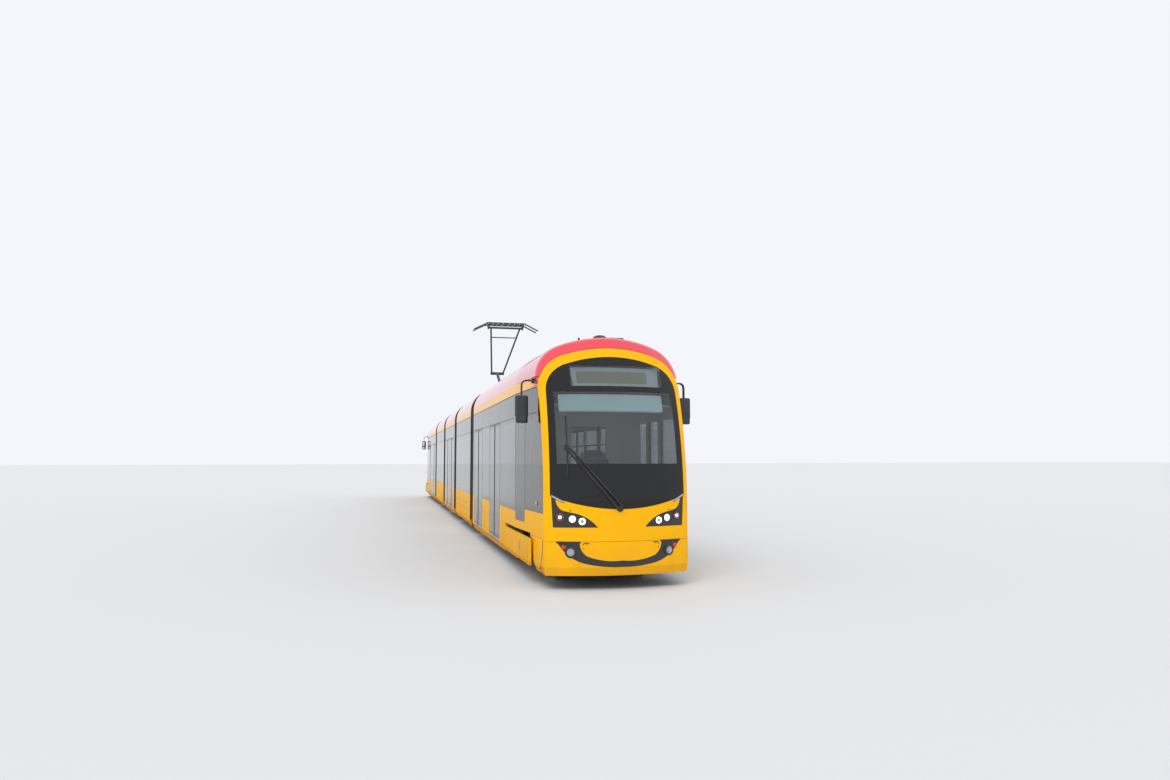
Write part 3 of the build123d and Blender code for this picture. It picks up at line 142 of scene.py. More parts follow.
def effect(name, inputs, outputs):
    """An empty shader group with the named sockets; returns it, what it is given and its end node."""
    group = bpy.data.node_groups.new(name, "ShaderNodeTree")
    for socket, kind, value in inputs:
        group.interface.new_socket(socket, in_out="INPUT", socket_type=kind).default_value = value
    for socket, kind in outputs:
        group.interface.new_socket(socket, in_out="OUTPUT", socket_type=kind)
    return group, group.nodes.new("NodeGroupInput").outputs, group.nodes.new("NodeGroupOutput")


def use(tree, group, inputs):
    """The outputs of a group placed in a material, with its own values."""
    return wire(tree, "Group", inputs, node_tree=group).outputs


def join(tree, node, **sources):
    """Feeds the sockets of a node, whose names have _ for each space."""
    for socket, source in sources.items():
        feed(tree, node.inputs[socket.replace("_", " ")], source)


def blended(tree, share, low, high):
    """A mix of two colours."""
    node = wire(tree, "Mix", data_type="RGBA")
    for name, value in (("Factor", share), ("A", low), ("B", high)):
        feed(tree, [end for end in node.inputs if end.name == name and end.enabled][0], value)
    return [end for end in node.outputs if end.enabled][0]


def start_finish(name, **constants):
    """A new material; constants go straight onto its shader."""
    material = bpy.data.materials.new(name)
    material.use_nodes = True
    tree = material.node_tree
    shader = tree.nodes["Principled BSDF"]
    join(tree, shader, **constants)
    return material, tree, shader


# Road film: strongest low down, in streaks and patches
road_film, given, result = effect(
    "road_film",
    [("Low", "NodeSocketFloat", 0.2), ("High", "NodeSocketFloat", 1.2),
     ("Amount", "NodeSocketFloat", 0.5), ("Scale", "NodeSocketFloat", 2.0)],
    [("Mask", "NodeSocketFloat")],
)
where = wire(road_film, "TexCoord").outputs["Object"]
height = wire(road_film, "SeparateXYZ", {0: where}).outputs["Z"]
rise = wire(road_film, "MapRange", {"Value": height, "From Min": given["High"], "From Max": given["Low"]})
stretch = wire(road_film, "Mapping", {"Vector": where, "Scale": (1, 3, 0.8)})
patches = wire(road_film, "TexNoise", {
    "Vector": stretch.outputs[0], "Scale": given["Scale"], "Detail": 6.0, "Roughness": 0.62})
spread = maths(road_film, "MULTIPLY_ADD", patches.outputs[0], 2.2, -0.62)
film = maths(road_film, "MULTIPLY", maths(road_film, "POWER", rise.outputs[0], 1.7), spread)
film = maths(road_film, "MULTIPLY", film, given["Amount"])
join(road_film, result, Mask=wire(road_film, "Clamp", {0: film}).outputs[0])

# Worked surface: fine grain and mottled shade, for steel, plastic, rubber and cloth alike
worked, given, result = effect(
    "worked",
    [("Colour", "NodeSocketColor", BOGIE_GREY), ("Second Colour", "NodeSocketColor", AXLE_GREY),
     ("Mottle", "NodeSocketFloat", 1.0), ("Mottle Scale", "NodeSocketFloat", 6.0),
     ("Grain Scale", "NodeSocketFloat", 300.0), ("Grain Depth", "NodeSocketFloat", 0.1),
     ("Polish", "NodeSocketFloat", 0.5)],
    [("Colour", "NodeSocketColor"), ("Roughness", "NodeSocketFloat"), ("Normal", "NodeSocketVector")],
)
where = wire(worked, "TexCoord").outputs["Object"]
mottle = wire(worked, "TexNoise", {"Vector": where, "Scale": given["Mottle Scale"], "Detail": 5.0})
share = maths(worked, "MULTIPLY_ADD", mottle.outputs[0], 2.4, -0.7)
share = wire(worked, "Clamp", {0: maths(worked, "MULTIPLY", share, given["Mottle"])}).outputs[0]
grain = wire(worked, "TexNoise", {"Vector": where, "Scale": given["Grain Scale"], "Detail": 3.0})
bump = wire(worked, "Bump", {"Strength": given["Grain Depth"], "Distance": 0.002, "Height": grain.outputs[0]})
join(worked, result, Normal=bump.outputs[0],
     Colour=blended(worked, share, given["Colour"], given["Second Colour"]),
     Roughness=maths(worked, "MULTIPLY_ADD", share, 0.12, given["Polish"]))


def worked_finish(name, colour, second, mottle_scale=6.0, grain_scale=300.0, grain_depth=0.15, polish=0.5,
                  film_top=0.0, **constants):
    """A material from the worked surface, with road film up to film_top if that is given."""
    material, tree, shader = start_finish(name, **constants)
    surface = use(tree, worked, {
        "Colour": colour, "Second Colour": second, "Mottle Scale": mottle_scale,
        "Grain Scale": grain_scale, "Grain Depth": grain_depth, "Polish": polish})
    colour = surface["Colour"]
    if film_top:
        film = use(tree, road_film, {"High": film_top, "Amount": 0.9, "Scale": 5.0})
        colour = blended(tree, film["Mask"], colour, BRAKE_DUST)
    join(tree, shader, Base_Color=colour, Roughness=surface["Roughness"], Normal=surface["Normal"])
    return material


def dress(node, material):
    """Gives a CAD node one material."""
    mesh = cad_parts[node].data
    mesh.materials.clear()
    mesh.materials.append(material)


def ring(shape, centre, side, across, radius, steps):
    """Adds a round of points about a centre."""
    points = []
    for step in range(steps):
        angle = math.tau * step / steps
        points.append(shape.verts.new(centre + (side * math.cos(angle) + across * math.sin(angle)) * radius))
    return points


def bridge(shape, rings):
    """Joins closed rings of points, one after another."""
    for low, high in zip(rings, rings[1:]):
        for step in range(len(low)):
            after = (step + 1) % len(low)
            shape.faces.new((low[step], low[after], high[after], high[step]))


def turn(shape, outline, centre, axis, steps=24, hollow=False):
    """Adds a turned body; outline has a (distance along the axis, radius) pair for each ring."""
    axis = Vector(axis).normalized()
    side = axis.orthogonal().normalized()
    across = axis.cross(side)
    rings = [ring(shape, Vector(centre) + axis * reach, side, across, max(radius, 0.0003), steps)
             for reach, radius in outline]
    bridge(shape, rings + rings[:1] if hollow else rings)
    if not hollow:
        shape.faces.new(rings[0])
        shape.faces.new(rings[-1])


def made(name, shape, material, places, sharp=35):
    """A finished shape as one piece per place; a place is an ending, a body and a matrix."""
    bmesh.ops.recalc_face_normals(shape, faces=shape.faces)
    pieces = []
    for ending, body, matrix in places:
        mesh = bpy.data.meshes.new(name + ending)
        shape.to_mesh(mesh)
        mesh.transform(matrix)
        mesh.materials.append(material)
        mesh.shade_smooth()
        mesh.set_sharp_from_angle(angle=math.radians(sharp))
        piece = bpy.data.objects.new(name + ending, mesh)
        bpy.context.collection.objects.link(piece)
        if body:
            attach(piece, body)
        pieces.append(piece)
    shape.free()
    return pieces


bogie_paint = worked_finish("bogie_paint", BOGIE_GREY, AXLE_GREY, film_top=1.2, polish=0.55)
wheel_steel, tree, shader = start_finish("wheel_steel", Roughness=0.42)
spot = wire(tree, "SeparateXYZ", {0: wire(tree, "TexCoord").outputs["Generated"]})
from_axle = wire(tree, "CombineXYZ", {
    way: maths(tree, "MULTIPLY_ADD", spot.outputs[way], WHEEL_BOX, -WHEEL_BOX / 2) for way in ("Y", "Z")})
reach = wire(tree, "VectorMath", {0: from_axle.outputs[0]}, operation="LENGTH").outputs["Value"]
bright = maths(tree, "GREATER_THAN", reach, WHEEL_RADIUS - 0.004)
worn = use(tree, worked, {
    "Colour": AXLE_GREY, "Second Colour": BRAKE_DUST, "Mottle Scale": 4.0, "Grain Depth": 0.3, "Polish": 0.6})
join(tree, shader, Base_Color=blended(tree, bright, worn["Colour"], TREAD_STEEL), Metallic=bright,
     Roughness=maths(tree, "MULTIPLY_ADD", bright, -0.3, worn["Roughness"]), Normal=worn["Normal"])
for number in range(1, 9):
    dress(f"wheelset_{number}", wheel_steel)
for number in range(1, 5):
    dress(f"bogie_frame_{number}", bogie_paint)

# Each wheel has a ring of bolts through its rubber-sprung centre, and a cover closes each axle box.
# Four stacks of rubber and steel plates carry the body on each frame.
BOGIE_SETBACKS = (2.300, 11.755)
HALF_WHEELBASE = 0.900
WHEEL_FACE = 0.7675
BOLT_CIRCLE = 0.185
BOLTS = 8
BOLT = [(-0.004, 0.021), (0.003, 0.021), (0.004, 0.015), (0.013, 0.015), (0.015, 0.012)]
AXLE_COVER = [(-0.006, 0.078), (0.010, 0.078), (0.016, 0.070), (0.022, 0.052), (0.020, 0.0)]
SPRING_PLACE = (0.880, 0.260)
SPRING_FOOT = 0.505
SPRING_PLATES = 5
SPRING_RISE = 0.320
BEAM_FACE = 0.970
UP = (0, 0, 1)
RUBBER = (0.012, 0.012, 0.013, 1)
RUBBER_DUSTY = (0.040, 0.038, 0.036, 1)
rubber = worked_finish("rubber", RUBBER, RUBBER_DUSTY, mottle_scale=3.0, polish=0.62, grain_depth=0.25)
bogie_rows = [setback - HALF_LENGTH for setback in BOGIE_SETBACKS]
bogie_rows += [-row for row in reversed(bogie_rows)]
AT_BOGIES = []
AT_AXLES = []
for number, row in enumerate(bogie_rows):
    AT_BOGIES.append((f"_{number + 1}", f"bogie_{number + 1}", Matrix.Translation((0, row, 0))))
    for step, side in ((1, -1), (2, 1)):
        axle = 2 * number + step
        AT_AXLES.append((f"_{axle}", f"axle_{axle}", Matrix.Translation((0, row + side * HALF_WHEELBASE, 0))))

bolts, covers, stacks, plates = (bmesh.new() for _ in range(4))
for side in (-1, 1):
    for step in range(BOLTS):
        angle = math.tau * step / BOLTS
        spot = (side * WHEEL_FACE, BOLT_CIRCLE * math.cos(angle),
                RAIL + WHEEL_RADIUS + BOLT_CIRCLE * math.sin(angle))
        turn(bolts, BOLT, spot, (side, 0, 0), steps=6)
made("wheel_bolts", bolts, bogie_paint, AT_AXLES)
for side in (-1, 1):
    for end in (-1, 1):
        turn(covers, AXLE_COVER, (side * BEAM_FACE, end * HALF_WHEELBASE, RAIL + WHEEL_RADIUS), (side, 0, 0))
        foot = (side * SPRING_PLACE[0], end * SPRING_PLACE[1], SPRING_FOOT)
        outline = []
        for step in range(SPRING_PLATES):
            low = SPRING_RISE * step / SPRING_PLATES
            high = SPRING_RISE * (step + 1) / SPRING_PLATES
            outline += [(low + 0.004, 0.112), ((low + high) / 2, 0.119), (high - 0.010, 0.112)]
            rim = [(high - 0.010, 0.111), (high - 0.010, 0.122), (high - 0.002, 0.122), (high - 0.002, 0.111)]
            turn(plates, rim, foot, UP, steps=32)
        turn(stacks, outline, foot, UP, steps=32)
made("axle_covers", covers, bogie_paint, AT_BOGIES)
made("spring_rubbers", stacks, rubber, AT_BOGIES, sharp=60)
made("spring_plates", plates, bogie_paint, AT_BOGIES)

# Coachwork: steel sides under thick gloss yellow with clear lacquer; the tucked sill is painted darker, a painted
# shade.
# Behind the flush glass the steel is blacked, and the saloon is lined in pale grey over a dark floor.
HALF_WIDTH = 1.175
NOSE_HALF_WIDTH = 1.060
TAPER_LENGTH = 2.300
SILL = 0.300
FLOOR_LEVEL = 0.350
BELT = 0.975
HEADER = 2.503
GLASS_TOP = 2.883
GLASS_LAP = 0.006
GLASS_DEEP = 0.011
WALL_THICK = 0.066
UNDER_TOP = 1.0
LINING_TOP = 2.62
DECK_FOOT = 2.81
FLAT = 0.7
YELLOW = (1.0, 0.50, 0.002, 1)
YELLOW_DEEP = (0.96, 0.455, 0.002, 1)
SILL_SHADED_YELLOW = (0.72, 0.30, 0.008, 1)
ROAD_FILM = (0.16, 0.13, 0.10, 1)
ROOF_RED = (0.82, 0.048, 0.072, 1)
ROOF_RED_DEEP = (0.77, 0.040, 0.062, 1)
RED_FROM = 2.888
RED_LENGTH = 0.930
LINING_GREY = (0.58, 0.58, 0.56, 1)
FLOOR_GREY = (0.09, 0.095, 0.105, 1)
UNDERSIDE_SHADE = (0.035, 0.035, 0.036, 1)
BLACKED = (0.006, 0.006, 0.007, 1)
DOOR_BLACK = (0.010, 0.010, 0.011, 1)
DECK_GREY = (0.30, 0.30, 0.29, 1)
SECTIONS = ("front", "bogie_front", "middle", "bogie_rear", "rear")
JOINTS = (9.320, 14.190)
HALF_GAP = 0.350
RIM = 0.0135

# Lacquer: the slight ripple of sprayed paint, with a faint drift of shade from panel to panel
lacquer, given, result = effect(
    "lacquer",
    [("Colour", "NodeSocketColor", YELLOW), ("Deep Colour", "NodeSocketColor", YELLOW_DEEP),
     ("Ripple", "NodeSocketFloat", 0.02), ("Polish", "NodeSocketFloat", 0.2)],
    [("Colour", "NodeSocketColor"), ("Roughness", "NodeSocketFloat"), ("Normal", "NodeSocketVector")],
)
where = wire(lacquer, "TexCoord").outputs["Object"]
drift = wire(lacquer, "TexNoise", {"Vector": where, "Scale": 0.7, "Detail": 3.0})
smear = wire(lacquer, "TexNoise", {"Vector": where, "Scale": 5.0, "Detail": 8.0})
orange_peel = wire(lacquer, "TexNoise", {"Vector": where, "Scale": 60.0})
dent = wire(lacquer, "TexNoise", {"Vector": where, "Scale": 1.3, "Detail": 1.0})
relief = maths(lacquer, "MULTIPLY_ADD", orange_peel.outputs[0], 0.01, dent.outputs[0])
ripple = wire(lacquer, "Bump", {"Strength": given["Ripple"], "Distance": 0.05, "Height": relief})
join(lacquer, result, Normal=ripple.outputs[0],
     Colour=blended(lacquer, drift.outputs[0], given["Colour"], given["Deep Colour"]),
     Roughness=maths(lacquer, "MULTIPLY_ADD", smear.outputs[0], 0.04, given["Polish"]))


def lacquered(name, colour, deep_colour, film_top, film_amount=0.45, ripple=0.03, polish=0.24, shine=0.30,
              gloss=0.0):
    """Gloss paint under lacquer, with road film up to film_top; returns its colour, roughness and coat too."""
    material, tree, shader = start_finish(name, Coat_Roughness=0.05, Specular_IOR_Level=gloss)
    paint = use(tree, lacquer, {
        "Colour": colour, "Deep Colour": deep_colour, "Ripple": ripple, "Polish": polish})
    film = use(tree, road_film, {"High": film_top, "Amount": film_amount})["Mask"]
    dirty = blended(tree, film, paint["Colour"], ROAD_FILM)
    rough = maths(tree, "MULTIPLY_ADD", film, 0.5, paint["Roughness"])
    clear = wire(tree, "Clamp", {0: maths(tree, "SUBTRACT", shine, film)}).outputs[0]
    join(tree, shader, Base_Color=dirty, Roughness=rough, Coat_Weight=clear, Normal=paint["Normal"])
    return material, tree, shader, dirty, rough, clear


def above(tree, value, limit):
    """A mask that is 1 where value lies above limit."""
    return maths(tree, "GREATER_THAN", value, limit)


def below(tree, value, limit):
    """A mask that is 1 where value lies below limit."""
    return maths(tree, "LESS_THAN", value, limit)


def both(tree, first, second):
    """A mask that is 1 where both masks are."""
    return maths(tree, "MULTIPLY", first, second)


def between(tree, value, low, high):
    """A mask that is 1 where value lies between low and high."""
    return both(tree, above(tree, value, low), below(tree, value, high))


shell_paint, tree, shader, colour, rough, coat = lacquered(
    "shell_paint", YELLOW, YELLOW_DEEP, film_top=1.3, ripple=0.012)
where = wire(tree, "TexCoord").outputs
place = wire(tree, "SeparateXYZ", {0: where["Object"]}).outputs
facing = wire(tree, "SeparateXYZ", {0: where["Normal"]}).outputs["Z"]
height = place["Z"]
setback = maths(tree, "SUBTRACT", HALF_LENGTH, maths(tree, "ABSOLUTE", place["Y"]))
slope = (HALF_WIDTH - NOSE_HALF_WIDTH) / TAPER_LENGTH
side = maths(tree, "MINIMUM", maths(tree, "MULTIPLY_ADD", setback, slope, NOSE_HALF_WIDTH), HALF_WIDTH)
depth = maths(tree, "SUBTRACT", side, maths(tree, "ABSOLUTE", place["X"]))
indoors = above(tree, depth, WALL_THICK)
# Faces turned down below a metre, and the inside below 0.93 m, are painted near black: painted shade.
under_side = both(tree, below(tree, facing, -FLAT), between(tree, height, 0, UNDER_TOP))
# The tucked sill band is painted a darker yellow: painted shade where the side turns under.
sill = between(tree, height, RAIL + 0.10, RAIL + SILL - 0.002)
crown = both(tree, above(tree, height, RAIL + RED_FROM), below(tree, setback, RED_LENGTH))
shaded_under = maths(tree, "MAXIMUM", both(tree, indoors, between(tree, height, 0, 0.93)), under_side)
glazed = both(tree, above(tree, depth, GLASS_DEEP),
              between(tree, height, RAIL + BELT - 0.27, RAIL + GLASS_TOP + GLASS_LAP))
from_ends = []
for joint in JOINTS:
    from_joint = maths(tree, "ABSOLUTE", maths(tree, "SUBTRACT", setback, joint))
    from_ends.append(maths(tree, "ABSOLUTE", maths(tree, "SUBTRACT", from_joint, HALF_GAP)))
rim = both(tree, below(tree, maths(tree, "MINIMUM", *from_ends), RIM),
           between(tree, height, RAIL + BELT, RAIL + GLASS_TOP + GLASS_LAP))
room = both(tree, indoors, between(tree, height, RAIL + FLOOR_LEVEL - 0.003, RAIL + LINING_TOP))
room = both(tree, both(tree, room, above(tree, setback, 0.30)), maths(tree, "SUBTRACT", 1.0, under_side))
lining = blended(tree, above(tree, facing, FLAT), LINING_GREY, FLOOR_GREY)
deck = both(tree, above(tree, depth, 0.10), above(tree, height, DECK_FOOT))
for mask, coat_colour in ((sill, SILL_SHADED_YELLOW), (crown, ROOF_RED), (shaded_under, UNDERSIDE_SHADE), (glazed, BLACKED),
                          (rim, DOOR_BLACK), (room, lining), (deck, DECK_GREY)):
    colour = blended(tree, mask, colour, coat_colour)
plain = maths(tree, "MAXIMUM", maths(tree, "MAXIMUM", shaded_under, room), deck)
coat = maths(tree, "MULTIPLY_ADD", above(tree, height, RAIL + GLASS_TOP), 0.5, coat)
join(tree, shader, Base_Color=colour, Roughness=maths(tree, "MAXIMUM", rough, both(tree, plain, 0.6)),
     Coat_Weight=both(tree, coat, maths(tree, "SUBTRACT", 1.0, plain)))
for end in SECTIONS:
    dress(f"shell_{end}", shell_paint)

# Bellows: coated cloth sewn in soft folds, clamped at both ends in arch frames bolted to the bodies.
# A second, smoother lining closes the gangway inside.
SHOULDER = 0.550
CROWN = 2.200
ROOF_TOP = 3.680
BELLOWS_FOOT = 0.365
BELLOWS_TOP = 3.540
FOLDS = 8
FOLD_STEPS = 6
FOLD_DEPTH = 0.065
PEAK_INSET = 0.018
FRAME_THICK = 0.022
FRAME_INSET = 0.002
FRAME_DEEP = 0.08
FRAME_EDGE = 0.005
END_WALL_FOOT = 2.450
GANGWAY_HALF = 0.805
GANGWAY_TOP = 2.355
CLOTH_FLAT = (8.106, 1.256)
LINING_FLAT = (5.617, 1.256)
CLOTH_GREY = (0.020, 0.021, 0.023, 1)
CLOTH_FADED = (0.052, 0.052, 0.054, 1)
TURNINGS = (
    ("outer_front", JOINTS[0], "section_front", "section_bogie_front"),
    ("inner_front", JOINTS[1], "section_bogie_front", "section_middle"),
    ("inner_rear", 2 * HALF_LENGTH - JOINTS[1], "section_middle", "section_bogie_rear"),
    ("outer_rear", 2 * HALF_LENGTH - JOINTS[0], "section_bogie_rear", "section_rear"),
)
bellows_cloth = worked_finish("bellows_cloth", CLOTH_GREY, CLOTH_FADED, mottle_scale=2.0, grain_scale=700.0,
                              grain_depth=0.5, polish=0.66, film_top=1.3)


def rounded(path, radius, steps=4):
    """A path with its inner corners rounded."""
    points = [Vector(point) for point in path]
    smooth = [points[0]]
    for before, here, after in zip(points, points[1:], points[2:]):
        reach = min(radius, (before - here).length / 2, (after - here).length / 2)
        start = here + (before - here).normalized() * reach
        end = here + (after - here).normalized() * reach
        for step in range(steps + 1):
            share = step / steps
            smooth.append(start * (1 - share) ** 2 + here * 2 * share * (1 - share) + end * share ** 2)
    smooth.append(points[-1])
    return smooth


def arch(inset, foot, steps=8):
    """Points (across, above the rail) round the body's cross-section, from foot to foot."""
    middle = HALF_WIDTH - SHOULDER
    crown_foot = ROOF_TOP - CROWN
    reach = math.sqrt((CROWN - SHOULDER) ** 2 - middle ** 2)
    lean = math.atan2(reach, middle)
    half = [(HALF_WIDTH - inset, foot), (HALF_WIDTH - inset, (foot + crown_foot + reach) / 2)]
    for step in range(steps + 1):
        angle = lean * step / steps
        half.append((middle + (SHOULDER - inset) * math.cos(angle),
                     crown_foot + reach + (SHOULDER - inset) * math.sin(angle)))
    for step in range(1, steps + 1):
        angle = lean + (math.pi / 2 - lean) * step / steps
        half.append(((CROWN - inset) * math.cos(angle), crown_foot + (CROWN - inset) * math.sin(angle)))
    roof = BELLOWS_TOP + PEAK_INSET - inset
    half = [(across, min(up, roof)) for across, up in half]
    return half + [(-across, up) for across, up in reversed(half[:-1])]


def gangway(inset, foot, steps=5):
    """Points round the passage through the bellows, from foot to foot."""
    side = GANGWAY_HALF + inset
    top = GANGWAY_TOP + inset
    corners = rounded([(side, foot, 0), (side, top, 0), (-side, top, 0), (-side, foot, 0)], 0.12, steps)
    return [(corner.x, corner.y) for corner in corners]


def loft(shape, loops, closed=False):
    """Adds the skin that joins open loops of points, one after another."""
    rows = [[shape.verts.new(point) for point in loop] for loop in loops]
    if closed:
        rows.append(rows[0])
    for low, high in zip(rows, rows[1:]):
        for step in range(len(low) - 1):
            shape.faces.new((low[step], low[step + 1], high[step + 1], high[step]))
    return rows


def folded(name, outline, flat, first, last, body_low, body_high):
    """A folded skin between two rows; the two bodies it is given are not used."""
    skin = bmesh.new()
    loops = []
    waves = FOLDS * FOLD_STEPS
    for step in range(waves + 1):
        row = first + (last - first) * step / waves
        deep = FOLD_DEPTH * (0.5 + 0.5 * math.cos(math.tau * step / FOLD_STEPS))
        loops.append([(across, row, up + RAIL) for across, up in outline(deep)])
    loft(skin, loops)
    piece = made(name, skin, bellows_cloth, [("", None, Matrix())], sharp=180)[0]
    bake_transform(piece)
    return piece


def arch_frame(name, row, body, thick):
    """A rounded arch frame on the end of a body, with the wall that closes the roof space inside it."""
    frame_shape = bmesh.new()
    head = [spot for spot in arch(FRAME_INSET + 0.077, BELLOWS_FOOT) if spot[1] > END_WALL_FOOT]
    wall = []
    for share, at_top in ((0.10, True), (0.35, True), (0.35, False), (0.10, False)):
        wall.append([(across, row + thick * share, (up if at_top else END_WALL_FOOT) + RAIL)
                     for across, up in head])
    rows = loft(frame_shape, wall, closed=True)
    for end in (0, -1):
        frame_shape.faces.new([row_of_wall[end] for row_of_wall in rows[:4]])
    loops = []
    for inset, shift in ((FRAME_DEEP, 0), (FRAME_EDGE, 0), (0, 0.2), (0, 0.8), (FRAME_EDGE, 1), (FRAME_DEEP, 1)):
        loops.append([(across, row + thick * shift, up + RAIL)
                      for across, up in arch(FRAME_INSET + inset, BELLOWS_FOOT - 0.02)])
    loft(frame_shape, loops, closed=True)
    made(name, frame_shape, rubber, [("", body, Matrix())])


for turning, joint, low, high in TURNINGS:
    first = joint - HALF_GAP - HALF_LENGTH
    last = joint + HALF_GAP - HALF_LENGTH
    arch_frame(f"frame_low_{turning}", first + 0.001, low, FRAME_THICK)
    arch_frame(f"frame_high_{turning}", last - 0.001, high, -FRAME_THICK)
    span = (first + FRAME_THICK / 2, last - FRAME_THICK / 2)
    skin = folded(f"bellows_cloth_{turning}", lambda deep: arch(PEAK_INSET + deep, BELLOWS_FOOT), CLOTH_FLAT,
                  *span, low, high)
    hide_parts(f"bellows_{turning}")
    folded(f"gangway_lining_{turning}", lambda deep: gangway(deep, BELLOWS_FOOT), LINING_FLAT, *span, low, high)
    dress(f"bellows_{turning}", bellows_cloth)

# Side glass and windscreen: tinted safety glass bonded flush over a black printed border.
# The windscreen is clearer, with a deep black foot and a black hood that frames the destination screen.
SIDE_TINT = (0.20, 0.215, 0.23, 1)
SCREEN_TINT = (0.80, 0.86, 0.86, 1)
PRINT_BLACK = (0.004, 0.004, 0.005, 1)
SCREEN_SETBACK = 0.62
SCREEN_HALF = 1.025
SCREEN_CLEAR_HALF = 0.900
SCREEN_CLEAR_LOW = 1.745
SCREEN_CLEAR_TOP = 2.800
SIGN_MIDDLE = 0.062
SIGN_HALF = 0.712
SIGN_LOW = 2.878
SIGN_TOP = 3.202
glazing, tree, shader = start_finish("glazing", Roughness=0.0, IOR=1.5, Transmission_Weight=1.0)
where = wire(tree, "TexCoord").outputs["Object"]
place = wire(tree, "SeparateXYZ", {0: where}).outputs
height = place["Z"]
across = maths(tree, "ABSOLUTE", place["X"])
setback = maths(tree, "SUBTRACT", HALF_LENGTH, maths(tree, "ABSOLUTE", place["Y"]))
in_screen = both(tree, below(tree, setback, SCREEN_SETBACK), below(tree, across, SCREEN_HALF))
window = both(tree, between(tree, height, RAIL + SCREEN_CLEAR_LOW, RAIL + SCREEN_CLEAR_TOP),
              below(tree, across, SCREEN_CLEAR_HALF))
turned = both(tree, place["X"], maths(tree, "SIGN", place["Y"]))
from_sign = maths(tree, "ABSOLUTE", maths(tree, "ADD", turned, SIGN_MIDDLE))
sign = both(tree, between(tree, height, RAIL + SIGN_LOW, RAIL + SIGN_TOP), below(tree, from_sign, SIGN_HALF))
screen_tint = blended(tree, maths(tree, "MAXIMUM", window, sign), PRINT_BLACK, SCREEN_TINT)
side_tint = blended(tree, above(tree, height, RAIL + HEADER), SIDE_TINT, PRINT_BLACK)
wave = wire(tree, "TexNoise", {"Vector": where, "Scale": 1.1, "Detail": 0.0})
wavy = wire(tree, "Bump", {"Strength": 0.06, "Distance": 0.05, "Height": wave.outputs[0]})
film = use(tree, road_film, {"Low": 0.3, "High": 2.4, "Amount": 0.14, "Scale": 7.0})
join(tree, shader, Base_Color=blended(tree, in_screen, side_tint, screen_tint), Normal=wavy.outputs[0],
     Roughness=film["Mask"])
for end in SECTIONS:
    dress(f"glass_{end}", glazing)

# Rubber beads close the upper edge of the glass band and the joint between panes and header.
# They run the length of each body, along both flanks.
TURNED = Matrix.Rotation(math.pi, 4, "Z")
AT_ENDS = (("_front", "section_front", Matrix()), ("_rear", "section_rear", TURNED))
AT_INNER = (("_bogie_front", "section_bogie_front", Matrix()), ("_bogie_rear", "section_bogie_rear", TURNED))
AT_MIDDLE = (("_middle", "section_middle", Matrix()),)
GLASS_ENDS = ((AT_ENDS, 0.340, 8.958), (AT_INNER, 9.682, 13.828), (AT_MIDDLE, 14.552, 18.448))
BEADS = ((GLASS_TOP + 0.004, 0.0055, 0.0015, 0.820), (HEADER, 0.0040, -0.0015, 0.620))


def pipe(shape, path, radius, steps=10):
    """Adds a round bar along a path, with closed ends."""
    points = [Vector(point) for point in path]
    rings = []
    side = None
    for index, point in enumerate(points):
        run = (points[min(index + 1, len(points) - 1)] - points[max(index - 1, 0)]).normalized()
        side = run.orthogonal() if side is None else side
        side = (side - run * side.dot(run)).normalized()
        rings.append(ring(shape, point, side, run.cross(side), radius, steps))
    bridge(shape, rings)
    shape.faces.new(rings[0])
    shape.faces.new(rings[-1])


def at(across, setback, up):
    """The point so far across the tram, behind the nose and above the rail."""
    return Vector((across, setback - HALF_LENGTH, up + RAIL))


def on_side(side):
    """A rule that places (setback, height above the rail, lift) on one flank of the body."""
    def place(setback, up, lift=0.0):
        across = min(NOSE_HALF_WIDTH + setback * slope, HALF_WIDTH) + lift
        return at(side * across, setback, up)
    return place


for places, start, end in GLASS_ENDS:
    beads = bmesh.new()
    for side in (-1, 1):
        for up, radius, lift, nose_end in BEADS:
            stops = [max(start, nose_end)] + ([TAPER_LENGTH] if start < TAPER_LENGTH else []) + [end]
            pipe(beads, [on_side(side)(stop, up, lift) for stop in stops], radius, steps=8)
    made("glass_beads", beads, rubber, places)

# Door leaves: welded aluminium frames coated black, hung outside on arms, with rubber finger edges.
# Each leaf has a bright kick strip at its foot, and each doorway an opening button by its middle.
DOOR_BLACK_WORN = (0.022, 0.022, 0.023, 1)
door_paint = worked_finish("door_paint", DOOR_BLACK, DOOR_BLACK_WORN, mottle_scale=3.0, polish=0.28,
                           grain_depth=0.05, Coat_Weight=0.3)
for end in ("front", "middle", "rear"):
    dress(f"doors_{end}", door_paint)
DOORWAYS = ((AT_ENDS, ((4.160, 5.740), (7.030, 8.630))), (AT_MIDDLE, ((14.990, 16.330), (16.670, 18.010))))
LEAF_FACE = 1.175
LEAF_FOOT = 0.300
KICK_HIGH = 0.040
EDGE_RUBBER = 0.024
BUTTON_UP = 1.050
BUTTON_RING = 0.026
GRIP_REACH = (0.900, 1.850)
GRIP_ACROSS = (1.060, 1.128)
STEEL = (0.56, 0.56, 0.55, 1)
STEEL_DULL = (0.40, 0.40, 0.40, 1)
BUTTON_GREEN = (0.05, 0.42, 0.12, 1)
steel = worked_finish("steel", STEEL, STEEL_DULL, mottle_scale=9.0, polish=0.24, grain_depth=0.05, Metallic=1.0)
button_green = worked_finish("button_green", BUTTON_GREEN, BUTTON_GREEN, polish=0.2, grain_depth=0.0,
                             Coat_Weight=1.0)


def block(shape, low, high, edge=0.004, cuts=2, lean=0.0):
    """Adds a box with eased edges between two corners; lean tips it along Y, for each unit of height."""
    low, high = Vector(low), Vector(high)
    tip = Matrix(((1, 0, 0, 0), (0, 1, lean, 0), (0, 0, 1, 0), (0, 0, 0, 1)))
    place = Matrix.Translation((low + high) / 2) @ tip @ Matrix.Diagonal((*(high - low), 1))
    corners = bmesh.ops.create_cube(shape, size=1, matrix=place)["verts"]
    edges = list({line for corner in corners for line in corner.link_edges})
    bmesh.ops.bevel(shape, geom=edges, offset=edge, segments=cuts, profile=0.6, affect="EDGES",
                    clamp_overlap=True)


